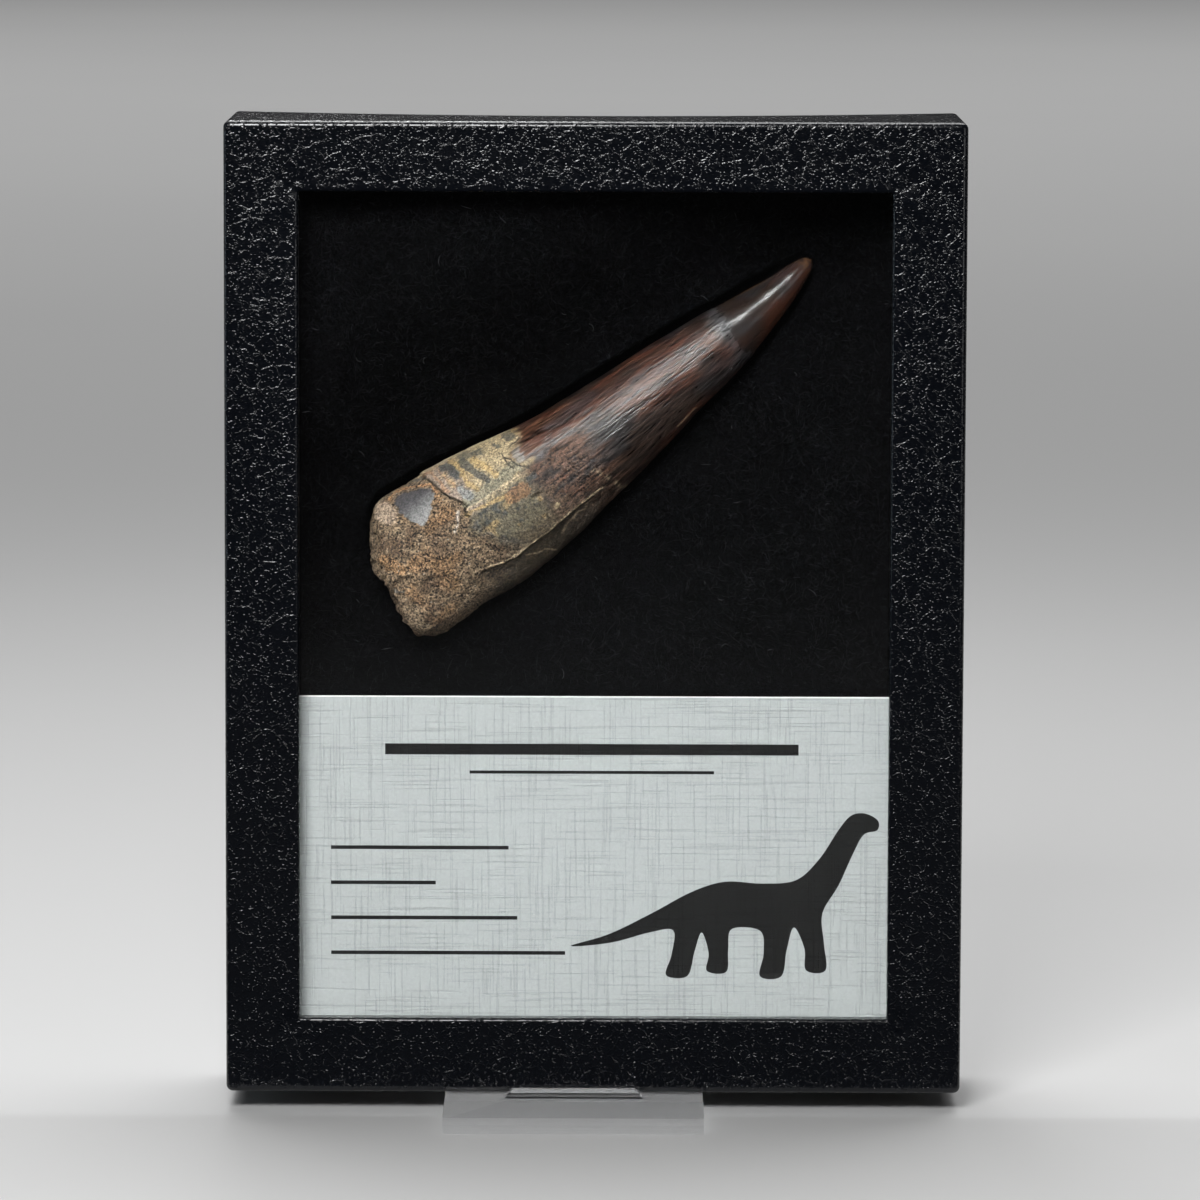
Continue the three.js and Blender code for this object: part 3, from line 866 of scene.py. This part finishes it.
OLIVE_AND_FACET_SHADE = np.array((0.018, 0.013, 0.008))
ENAMEL = np.array((0.022, 0.014, 0.011))
RED_ENAMEL = np.array((0.052, 0.018, 0.010))
BLUE_ENAMEL = np.array((0.022, 0.024, 0.027))
WARM_ENAMEL = np.array((0.066, 0.030, 0.017))
PALE_LINE_AND_HIGHLIGHT = np.array((0.50, 0.39, 0.25))
CHALK = np.array((0.48, 0.43, 0.38))
CRACK = np.array((0.012, 0.009, 0.007))

PATCHES = (
    # colour, half width, strength, line through the patch
    (RUST_SAND * 1.3, 0.85, 0.65, ((-0.6, 1.4), (0.2, 0.0))),
    (DARK_SLATE, 0.35, 0.7, ((-1.6, -1.7), (-1.0, -2.3))),
    (DARK_SAND, 0.70, 0.6, ((1.2, -3.6), (2.6, -3.3))),
    (PALE_SAND * 1.2, 0.60, 0.6, ((-2.0, -5.2), (-1.6, -6.4))),
    (GREY_GREEN, 0.75, 0.85, ((10.9, 1.3), (17.2, 1.2))),
    (DARK_SLATE, 0.35, 0.65, ((3.6, 7.8), (5.6, 7.9), (7.6, 7.4), (8.7, 6.7))),
    (ORANGE, 0.17, 0.75, ((4.0, 7.0), (4.7, 7.3), (5.8, 7.28), (7.2, 6.75), (8.75, 5.7), (8.95, 4.65))),
    (ORANGE, 0.22, 0.55, ((8.7, 6.9), (9.5, 6.5), (9.75, 5.1), (9.8, 3.6))),
    (ORANGE, 0.10, 0.5, ((10.6, 6.7), (10.4, 5.4), (10.9, 4.1), (10.7, 3.2))),
    (DARK_SLATE, 0.50, 0.9, ((11.1, 6.15), (11.9, 4.8))),
    (LIGHT_SLATE, 0.50, 0.85, ((11.15, 2.9), (11.5, 1.9))),
    (OCHRE, 0.32, 0.9,
     ((12.24, 6.3), (12.36, 5.4), (12.49, 4.5), (12.45, 3.8), (12.28, 3.0), (12.7, 1.8))),
    (DARK_SLATE, 0.48, 0.8, ((13.1, 5.2), (13.6, 3.7), (14.1, 2.2))),
    (DARK_SLATE, 0.40, 0.7, ((13.2, 6.1), (15.4, 4.9))),
    (OCHRE, 0.48, 0.8, ((14.4, 4.6), (15.4, 2.1))),
    (PALE_OCHRE, 1.15, 0.8, ((16.4, 3.8), (17.2, 3.7))),
    (DARK_SLATE, 0.40, 0.8, ((17.25, 4.7), (17.35, 4.4))),
    (DARK_SLATE, 0.60, 0.75, ((19.0, 4.8), (19.1, 4.3))),
    (LIGHT_SLATE, 0.60, 0.5, ((18.6, 2.2), (18.9, 1.7))),
    (OCHRE, 0.24, 0.85, ((9.95, 0.45), (12.4, -0.05), (15.0, -0.6))),
    (ORANGE * 0.6, 0.75, 0.7, ((15.2, -1.0), (16.7, -1.1))),
    (DARK_SLATE, 0.32, 0.85, ((17.9, -0.6), (18.6, -0.6))),
    (PALE_OCHRE, 0.24, 0.7, ((13.4, -1.6), (13.5, -1.5))),
    (PALE_OCHRE, 0.24, 0.7, ((18.6, -4.9), (18.7, -4.8))),
    (CHALK, 0.16, 0.75, ((9.44, 1.26), (7.95, -0.26))),
)
LINES = (
    # colour, width, strength, line
    (CRACK, 0.17, 0.85, COLLAR_LINE),
    *((CRACK, 0.13, 0.95, line) for line in CROWN_CRACKS),
    # Painted highlight along the lit upper edge of the neck, over a thin pale ochre rim.
    (PALE_LINE_AND_HIGHLIGHT, 0.32, 0.6, ((2.0, 7.8), (5.0, 8.0), (9.0, 7.2), (13.3, 6.4), (18.7, 5.35))),
    (PALE_LINE_AND_HIGHLIGHT, 0.15, 0.75, ((10.3, 0.87), (12.0, 0.69), (13.4, 0.6), (15.5, 0.47), (17.6, 0.34))),
    # Painted highlight on the crest of the ledge.
    (PALE_LINE_AND_HIGHLIGHT, 0.22, 0.75, LEDGE_LINE[2:]),
    (PALE_LINE_AND_HIGHLIGHT * 0.6, 0.11, 0.5, ((12.5, -7.3), (13.7, -7.75), (14.7, -7.94), (15.5, -8.4))),
    (PALE_LINE_AND_HIGHLIGHT * 0.6, 0.11, 0.5,
     ((17.2, -7.76), (18.4, -7.37), (20.1, -7.05), (20.8, -7.2), (21.4, -6.86))),
    (PALE_LINE_AND_HIGHLIGHT * 0.6, 0.16, 0.6, ((24.4, -4.2), (25.3, -6.3), (25.7, -7.7), (26.7, -8.1))),
    (PALE_LINE_AND_HIGHLIGHT, 0.13, 0.6, ((34.9, -6.0), (37.8, -5.6))),
    (PALE_LINE_AND_HIGHLIGHT, 0.13, 0.6, ((35.6, -6.9), (37.2, -6.5))),
)


def overlay(base, *layers):
    """Lays colours over a base in turn, each where its share is 1."""
    for colour, share in layers:
        base = base + (colour - base) * share[..., None]
    return base


def rock_tint(tooth, coarse, fine):
    """Sand with darker and rustier clouds, the smooth grey flake painted in shade at its upper edge and lit
    towards its lower edge, and the tan patch beside it.
    """
    # Painted shade and light on the flake: its grey runs from a shaded copy at the top to a lit copy lower
    # down, as on a hollow facet.
    flake = overlay(FLAKE_PAINTED_SHADE, (FLAKE_PAINTED_LIGHT, smoothstep(5.9 - tooth.rough_across, 0, 3.4)))
    return overlay(
        SAND,
        (DARK_SAND, 0.85 * smoothstep(coarse, -0.1, 0.7)),
        (PALE_SAND, 0.6 * smoothstep(fine, 0.1, 0.8)),
        (RUST_SAND, 0.6 * smoothstep(noise(tooth.solid, 2.2, 121), 0.2, 0.8)),
        (TAN, 0.75 * tooth.tan_patch),
        (flake, tooth.flake))


def neck_tint(tooth, coarse, fine):
    """Pinkish grey above the middle, an olive mottle below it and brown grains towards the crown."""
    solid, across = tooth.solid, tooth.rough_across
    mottle = overlay(
        OLIVE,
        (DARK_SLATE, 0.8 * smoothstep(fine + 0.3 * coarse, 0.05, 0.45)),
        (OCHRE * 0.75, 0.7 * smoothstep(noise(solid, 0.9, 137) + 0.3 * fine, 0.35, 0.75)),
        (SAND, 0.5 * smoothstep(-across + 0.8 * coarse, 3.6, 6.0)))
    return overlay(
        PINK_GREY,
        (PALE_OCHRE, smoothstep(tooth.rough_along, 12.0, 13.0)),
        (DARK_SLATE, 0.45 * smoothstep(fine, 0.25, 0.7)),
        (OCHRE, 0.5 * smoothstep(noise(solid, 1.1, 131), 0.25, 0.6)),
        (mottle, 1 - smoothstep(across + 0.3 * coarse, -0.7, 0.4)),
        (BROWN, 0.75 * tooth.granular))


def crown_tint(tooth, fine):
    """Near-black enamel with red-brown and blue-grey clouds, warmer at both ends, with a painted orange
    glow along the edges near the tip.
    """
    solid, along = tooth.solid, tooth.rough_along
    lengthwise = layered_noise(solid * (0.2, 1, 1), 1.2, 3, 109)
    red = smoothstep(layered_noise(solid * (0.45, 1, 1), 4.2, 3, 141), 0.0, 0.5)
    blue = smoothstep(layered_noise(solid * (0.5, 1, 1), 3.4, 3, 145), 0.1, 0.5)
    warm = (1 - smoothstep(along, 20, 34)) * smoothstep(lengthwise, -0.35, 0.4)
    band = smoothstep(tooth.along, 44.0, 46.3) * (1 - tooth.tip)
    # Painted rim glow: orange where the tip's enamel is seen edge-on, standing in for light through its
    # thin edges.
    rim = smoothstep(tooth.along, 43, 50) * (1 - smoothstep(np.sin(tooth.angle), 0.05, 0.5))
    return overlay(
        ENAMEL,
        (RED_ENAMEL, 0.8 * red),
        (BLUE_ENAMEL, 0.5 * blue),
        (WARM_ENAMEL, 0.85 * warm),
        (BROWN, 0.8 * tooth.granular * smoothstep(fine, -0.5, 0.3)),
        (BLUE_ENAMEL * 1.6, 0.6 * band),
        # Painted rim glow along the tip's edges.
        (ORANGE * 0.4, 0.6 * rim * smoothstep(lengthwise, -0.4, 0.4)),
        (ORANGE * 0.3, 0.8 * smoothstep(along, 56.3, 58.0) * smoothstep(fine, -0.2, 0.4)))


def tooth_tint(tooth):
    """Colour of each point: neck, crown and rock, with patches laid over them, then thin lines."""
    solid = tooth.solid
    coarse = layered_noise(solid, 2.8, 3, 101)
    fine = layered_noise(solid, 0.7, 3, 105)
    tint = overlay(
        neck_tint(tooth, coarse, fine),
        (crown_tint(tooth, fine), tooth.crown),
        (rock_tint(tooth, coarse, fine), tooth.rock),
        # The facet under the ledge takes a near-black olive, partly its own dark brown and partly painted
        # shade on that downward-facing flank.
        (OLIVE_AND_FACET_SHADE * (1 + 0.3 * fine[..., None]), 0.8 * tooth.facet))
    ragged = 0.32 * layered_noise(solid, 0.8, 4, 151)
    for colour, half_width, strength, line in PATCHES:
        reach = line_distance(tooth.rough_along, tooth.rough_across, line) - half_width
        reach -= ragged * min(1.0, 2 * half_width)
        tint = overlay(tint, (colour, tooth.front * strength * (1 - smoothstep(reach, -0.12, 0.08))))
    broken = tooth.side * (0.75 + 0.25 * smoothstep(noise(solid, 0.8, 155), -0.4, 0.2))
    for colour, width, strength, line in LINES:
        share = strength * broken * stroke(line_distance(*tooth.wavering, line), width)
        tint = overlay(tint, (colour, share))
    return tint


SAND_ROUGHNESS = 0.85
NECK_ROUGHNESS = 0.55
CROWN_POLISH = 0.23
TIP_POLISH = 0.12
GRAIN_DULLNESS = 0.14


def make_tooth():
    """The fine surface of the tooth, closed at both ends, with its look stored on its points."""
    tooth = ToothSurface()
    faces = closed_faces(len(tooth.place), TOOTH_AROUND)[:, ::-1]
    piece = make_piece("tooth_fossil", tooth.points(), faces, [fossil()])
    tint = tooth_tint(tooth).reshape(-1, 3)
    store(piece, "tint", np.vstack([tint, tint[:1], tint[-1:]]))
    store(piece, "grain", np.append(tooth.grain.ravel(), [1.0, 0.0]))
    store(piece, "enamel", np.append((tooth.crown * (1 - 0.93 * tooth.tip)).ravel(), [0.0, 0.07]))
    gloss = NECK_ROUGHNESS - CROWN_POLISH * tooth.crown - TIP_POLISH * tooth.tip
    gloss += GRAIN_DULLNESS * tooth.granular
    gloss += (SAND_ROUGHNESS - gloss) * tooth.rock * (1 - 0.65 * tooth.flake)
    store(piece, "gloss", np.append(gloss.ravel(), [SAND_ROUGHNESS, 0.25]))
    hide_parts("tooth")


# Fibre pad, with strands standing out of it and a few pale hairs on it

PAD_DIP = (0.6, 20.0)
PAD_DIP_DEPTH = TOOTH_AXIS_DEPTH + 0.7
PAD_REACH = 57.0
HOLLOW_ROOM = 0.9
HOLLOW_START = (-4.2, -2.5)
HOLLOW_END = (58.6, 59.4)
PAD_COLUMNS = 230
PAD_ROWS = 310
STRAND_STEPS = 6
CARD_TOP = CARD_Z[1]


def tooth_frame(x, z):
    """Along and across the tooth for a place on the case's front."""
    cosine, sine = math.cos(TOOTH_TILT), math.sin(TOOTH_TILT)
    dx, dz = x - TOOTH_BASE[0], z - TOOTH_BASE[1]
    return dx * cosine + dz * sine, dz * cosine - dx * sine


def pad_surface(x, z):
    """It touches the card and dips towards the tooth, with a hollow under it and soft waves."""
    along, across = tooth_frame(x, z)
    on_axis = np.clip(along, 0, PAD_REACH)
    share = on_axis / PAD_REACH
    half_width = 8.1 - 6.6 * share ** 1.5
    offset = across + 0.6 + 1.2 * np.sin(np.pi * share)
    distance = np.hypot(along - on_axis, offset) - half_width
    near = 1 - smoothstep(distance, *PAD_DIP)
    clear_of_card = smoothstep(z, CARD_TOP - 0.5, CARD_TOP + 5)
    wave = 0.5 + 0.25 * np.sin(x / 5.1 + z / 7.3) + 0.25 * np.sin(z / 4.3 - x / 8.7)
    front = PAD_Y[0]
    surface = front + clear_of_card * (near * (PAD_DIP_DEPTH - front) + 0.3 * wave)

    last = len(TOOTH_SECTIONS) - 1
    place = np.interp(along, TOOTH_SECTIONS[:, 0], np.arange(last + 1)) / last
    section = catmull_rom(TOOTH_SECTIONS, place)
    half_span = (section[..., 1] - section[..., 3]) / 2 + HOLLOW_ROOM
    off_middle = (across - (section[..., 1] + section[..., 3]) / 2) / half_span
    under = np.sqrt(np.clip(1 - off_middle ** 2, 0, 1)) * (section[..., 4] + HOLLOW_ROOM)
    inside = smoothstep(along, *HOLLOW_START) * (1 - smoothstep(along, *HOLLOW_END))
    hollow = TOOTH_AXIS_DEPTH + inside * under
    return np.where(inside * (under > 0), np.maximum(surface, hollow), surface)


def make_pad():
    """A fine field of heights in front, with flat sides and a flat back."""
    x = np.linspace(*PAD_X, PAD_COLUMNS)
    z = np.linspace(*PAD_Z, PAD_ROWS)
    x_grid, z_grid = np.meshgrid(x, z)
    surface = pad_surface(x_grid, z_grid)
    place = np.stack([x_grid, 0 * x_grid, z_grid], -1)
    free = smoothstep(z_grid, CARD_TOP + 0.5, CARD_TOP + 3)
    rough = 0.3 * layered_noise(place, 7.0, 2, 201) + 0.1 * layered_noise(place, 1.1, 3, 205)
    surface = np.clip(surface + free * (0.35 + rough), PAD_Y[0], PAD_Y[1] - 0.2)
    front = np.stack([x_grid, surface, z_grid], -1).reshape(-1, 3)
    edge = np.concatenate([
        np.arange(PAD_COLUMNS),
        np.arange(2, PAD_ROWS) * PAD_COLUMNS - 1,
        np.arange(PAD_ROWS * PAD_COLUMNS - 1, (PAD_ROWS - 1) * PAD_COLUMNS - 1, -1),
        np.arange(PAD_ROWS - 2, 0, -1) * PAD_COLUMNS,
    ])
    back = front[edge].copy()
    back[:, 1] = PAD_Y[1]
    middle = np.array([[0, PAD_Y[1], CASE_MIDDLE]])
    first_back = len(front)
    back_ring = first_back + np.arange(len(edge))
    sides = np.concatenate([
        np.stack([edge, back_ring, np.roll(back_ring, -1)], -1),
        np.stack([edge, np.roll(back_ring, -1), np.roll(edge, -1)], -1),
    ])
    faces = np.concatenate([
        grid_faces(PAD_ROWS, PAD_COLUMNS, wrap_columns=False),
        sides,
        fan_faces(back_ring, first_back + len(edge))[:, ::-1],
    ])
    pad = make_piece("felt_pad", np.vstack([front, back, middle]), faces, [black_fibre()])
    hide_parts("fibre_pad")


STRANDS = (
    # piece, tries, lengths, thickness, rises, curl, finish, colour, seed
    ("felt_fibres", 4800, (0.4, 1.9), 0.016, (0.05, 0.4), 1.8, "dark_strand", (0.012, 0.012, 0.014), 9),
    ("grey_fibres", 1300, (0.3, 1.0), 0.014, (0.15, 0.45), 1.8, "grey_strand", (0.050, 0.054, 0.066), 10),
    ("pale_lint", 46, (0.25, 1.3), 0.022, (0.25, 0.5), 1.5, "pale_strand", (0.17, 0.17, 0.18), 12),
)


def scatter(random, tries):
    """Random places on the felt above the card, apart from those on the tooth."""
    x = random.uniform(-34, 34, tries)
    z = random.uniform(CARD_TOP + 1, 105, tries)
    along, across = tooth_frame(x, z)
    clear = (across > 8.5 - 0.12 * along) | (across < -9.5 + 0.1 * along) | (along < -4) | (along > 60)
    return x[clear], z[clear]


def strand_points(x, z, headings, lengths, thickness, rise, curl, seed):
    """Three points round each step of each strand, which runs along its heading, curls and lifts."""
    random = np.random.default_rng(seed)
    share = np.linspace(0, 1, STRAND_STEPS)[None, :]
    turn = headings[:, None] + curl[:, None] * (share - 0.5)
    step = (lengths / (STRAND_STEPS - 1))[:, None]
    x = x[:, None] + np.cumsum(np.cos(turn) * step, 1) - np.cos(turn[:, :1]) * step
    z = z[:, None] + np.cumsum(np.sin(turn) * step, 1) - np.sin(turn[:, :1]) * step
    lift = rise[:, None] * np.sin(np.pi * share) + random.uniform(0.02, 0.1, (len(x), 1))
    x = np.clip(x, PAD_X[0] + 0.5, PAD_X[1] - 0.5)
    y = np.maximum(pad_surface(x, z) + 0.2 - lift, PAD_Y[0] - 0.1)
    around = (np.arange(3) * 2 * np.pi / 3)[:, None]
    sideways = np.stack([-np.sin(turn), 0 * turn, np.cos(turn)], -1)[:, :, None, :]
    ring = sideways * np.cos(around) + np.array([0, 1, 0]) * np.sin(around)
    radius = thickness * (1 - 0.6 * np.abs(2 * share - 1))[..., None, None]
    return np.stack([x, y, z], -1)[:, :, None, :] + radius * ring


def make_fibres():
    """Dark and grey strands all over the felt, and a few pale hairs, joined into one piece of each."""
    random = np.random.default_rng(7)
    last = 3 * STRAND_STEPS - 3
    one = np.concatenate([grid_faces(STRAND_STEPS, 3), [[0, 2, 1], [last, last + 1, last + 2]]])
    for name, tries, lengths, thickness, rises, curl, finish, colour, seed in STRANDS:
        x, z = scatter(random, tries)
        count = len(x)
        points = strand_points(
            x, z, random.uniform(0, 2 * np.pi, count), random.uniform(*lengths, count), thickness,
            random.uniform(*rises, count), random.normal(0, curl, count), seed)
        first = np.arange(count) * STRAND_STEPS * 3
        faces = (one[None] + first[:, None, None]).reshape(-1, 3)
        make_piece(name, points.reshape(-1, 3), faces, [strand(finish, colour)])


# Card: ruled lines and a plain outline of a long-necked reptile, printed flat on the linen

RULES = (
    # left, right, height of the middle, thickness
    (-23.5, 23.0, 40.6, 1.25),
    (-14.0, 13.5, 38.0, 0.35),
    (-29.6, -9.6, 29.4, 0.42),
    (-29.6, -17.8, 25.4, 0.42),
    (-29.6, -8.6, 21.4, 0.42),
    (-29.6, -3.2, 17.4, 0.42),
)
PAPER = (0.455, 0.480, 0.477)
INK = (0.012, 0.012, 0.012)
CARD_BEVEL = 0.12
REPTILE_ORIGIN = (-2.6, 14.6)
REPTILE_STEPS = 6
REPTILE_OUTLINE = (
    # nose, neck and back, tail
    (34.6, 18.0), (33.2, 18.8), (31.6, 18.6), (30.2, 17.0), (28.0, 13.6), (25.4, 11.2), (21.6, 10.8),
    (17.4, 11.0), (13.6, 9.8), (9.2, 7.4), (4.4, 5.0), (0.0, 3.6),
    # under the tail and the hind legs
    (4.6, 4.0), (9.0, 5.2), (11.6, 5.4), (11.4, 2.6), (10.8, 0.3), (13.2, 0.2), (14.0, 3.0), (14.8, 5.2),
    (15.6, 2.8), (15.4, 0.8), (17.6, 0.7), (17.8, 3.2), (18.2, 5.6),
    # belly and fore legs
    (21.4, 5.4), (21.8, 2.8), (21.4, 0.2), (23.8, 0.2), (24.4, 3.2), (25.2, 5.8), (26.4, 3.4), (26.6, 0.9),
    (28.8, 0.9), (28.6, 4.0), (28.4, 7.4),
    # throat and jaw
    (30.2, 10.6), (31.8, 14.2), (33.0, 16.4), (34.5, 16.9),
)


def make_card():
    """One closed slab. Its front is cut along the print, and each triangle takes paper or ink."""
    left, right = CARD_X
    low, high = CARD_Z[0], CARD_Z[1] - CARD_BEVEL
    shapes = [[(left, low), (right, low), (right, high), (left, high)]]
    for x0, x1, middle, thickness in RULES:
        z0, z1 = middle - thickness / 2, middle + thickness / 2
        shapes.append([(x0, z0), (x1, z0), (x1, z1), (x0, z1)])
    ring = np.array(REPTILE_OUTLINE + REPTILE_OUTLINE[:1])
    share = np.linspace(0, 1, REPTILE_STEPS * (len(ring) + 1) + 1)
    smooth = catmull_rom(np.vstack([ring[-2], ring, ring[1]]), share)
    outline = smooth[REPTILE_STEPS:-REPTILE_STEPS] + REPTILE_ORIGIN
    shapes.append([tuple(point) for point in outline[:-1]])
    corners = [Vector(point) for shape in shapes for point in shape]
    starts = np.cumsum([0] + [len(shape) for shape in shapes])
    rings = [list(range(start, end)) for start, end in zip(starts[:-1], starts[1:])]
    edges = [(a, b) for ring in rings for a, b in zip(ring, ring[1:] + ring[:1])]
    placed, _, triangles, _, _, origins = delaunay_2d_cdt(corners, edges, rings, 1, 1e-6)
    inked = np.array([any(source > 0 for source in origin) for origin in origins])

    front = np.array([(x, CARD_Y[0], z) for x, z in placed])
    faces = np.array(triangles)
    rim = [int(np.argmin(np.hypot(front[:, 0] - x, front[:, 2] - z))) for x, z in shapes[0]]
    back = front[rim].copy()
    back[:, 1] = CARD_Y[1]
    back[2:, 2] += CARD_BEVEL
    behind = len(front) + np.arange(4)
    ahead = np.roll(rim, -1)
    behind_ahead = np.roll(behind, -1)
    others = np.concatenate([
        np.stack([rim, behind, behind_ahead], -1),
        np.stack([rim, behind_ahead, ahead], -1),
        [[behind[0], behind[3], behind[2]], [behind[0], behind[2], behind[1]]],
    ])
    finishes = [linen("card_paper", PAPER), linen("card_ink", INK), pale_core_and_edge_highlight()]
    card = make_piece(
        "printed_card", np.vstack([front, back]), np.concatenate([faces, others]), finishes,
        smooth=False)
    slots = np.concatenate([inked, np.full(len(others), 2)]).astype(np.int32)
    card.data.polygons.foreach_set("material_index", slots)
    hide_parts("label_card")


# Stage: pale floor, soft light from above and in front, and a dark flag that only reflections see


LAMPS = (
    # name, place, aim, size, power, colour: in metres and watts
    ("key", (-0.085, -0.40, 0.31), (0, 0, 0.07), (0.17, 0.17), 1.94, (1, 1, 1)),
    ("fill", (0.42, -0.62, 0.12), (0, 0, 0.04), (0.30, 0.30), 0.34, (1, 1, 1)),
    ("top", (0.02, 0.10, 0.52), (0, 0.0, 0.1), (0.36, 0.20), 1.4, (1, 1, 1)),
    ("rim", (-0.05, 0.40, 0.40), (0, 0, 0.11), (0.10, 0.05), 0.30, (1, 1, 1)),
    ("left_edge", (-0.55, -0.12, 0.05), (0, 0, 0.06), (0.10, 0.5), 0.35, (0.75, 0.9, 1.0)),
    ("backdrop", (0, 2.4, 2.3), (0, 2.0, 0), (3.5, 2.5), 55, (1, 1, 1)),
)
FLOOR_REACH = ((-4, 4), (-4, 4), 0.0)
FLAG_REACH = ((-3.5, 3.5), (-3.9, -0.0135), 0.002)


def make_lamp(name, place, aim, size, power, colour):
    """A soft rectangular lamp at a place, turned to its aim and out of the camera's sight."""
    data = bpy.data.lights.new(name, "AREA")
    data.shape = "RECTANGLE"
    data.size, data.size_y = size
    data.energy = power
    data.color = colour
    lamp = bpy.data.objects.new(name, data)
    bpy.context.scene.collection.objects.link(lamp)
    lamp.visible_camera = False
    lamp.location = place
    lamp.rotation_euler = (Vector(aim) - Vector(place)).to_track_quat("-Z", "Y").to_euler()


def make_sheet(name, x, y, z, material):
    """A flat rectangle on the stage, in metres."""
    mesh = bpy.data.meshes.new(name)
    corners = [(x[0], y[0], z), (x[1], y[0], z), (x[1], y[1], z), (x[0], y[1], z)]
    mesh.from_pydata(corners, [], [(0, 1, 2, 3)])
    mesh.materials.append(material)
    sheet = bpy.data.objects.new(name, mesh)
    bpy.context.scene.collection.objects.link(sheet)
    return sheet


def make_world():
    """Pale to the camera, dimmer to everything else, and brighter above than below."""
    studio = Finish("studio", "worlds")
    where = studio.node("ShaderNodeTexCoord", output="Generated")
    up = studio.node("ShaderNodeSeparateXYZ", None, {0: where}, "Z")
    glow = studio.mix(studio.fade(up, -0.1, 0.8), (0.03, 0.03, 0.035), (1.0, 1.0, 1.02))
    felt = studio.node("ShaderNodeBackground", None, {"Color": glow, "Strength": 0.06})
    seen = studio.node("ShaderNodeBackground", None, {"Color": (0.80, 0.80, 0.81, 1), "Strength": 0.75})
    is_camera = studio.node("ShaderNodeLightPath", output="Is Camera Ray")
    mix = studio.node("ShaderNodeMixShader", None, {0: is_camera, 1: felt, 2: seen})
    bpy.context.scene.world = studio.finished(mix, "ShaderNodeOutputWorld")


def make_stage():
    """The floor, the flag in front of the case, the lamps and the sky."""
    make_sheet("floor", *FLOOR_REACH, pale_floor())
    finish = Finish("flag")
    black = finish.finished(finish.surface((0.004, 0.004, 0.004), 1.0))
    flag = make_sheet("dark_flag", *FLAG_REACH, black)
    flag.visible_camera = False
    flag.visible_shadow = False
    for lamp in LAMPS:
        make_lamp(*lamp)
    make_world()
    bpy.context.scene.view_settings.view_transform = "Standard"


# The whole object

CLEAR_PIECES = (
    # node, finish, colour, roughness, refractive index
    ("glass_pane", "glass", (0.97, 0.985, 0.98), 0.0, 1.5),
    ("acrylic_stand", "acrylic", (0.96, 0.965, 0.98), 0.02, 1.49),
)

make_camera()
make_lid()
make_tray()
make_pad()
make_fibres()
make_card()
make_tooth()
for node, *look in CLEAR_PIECES:
    cad[node].data.materials.clear()
    cad[node].data.materials.append(clear(*look))
make_stage()
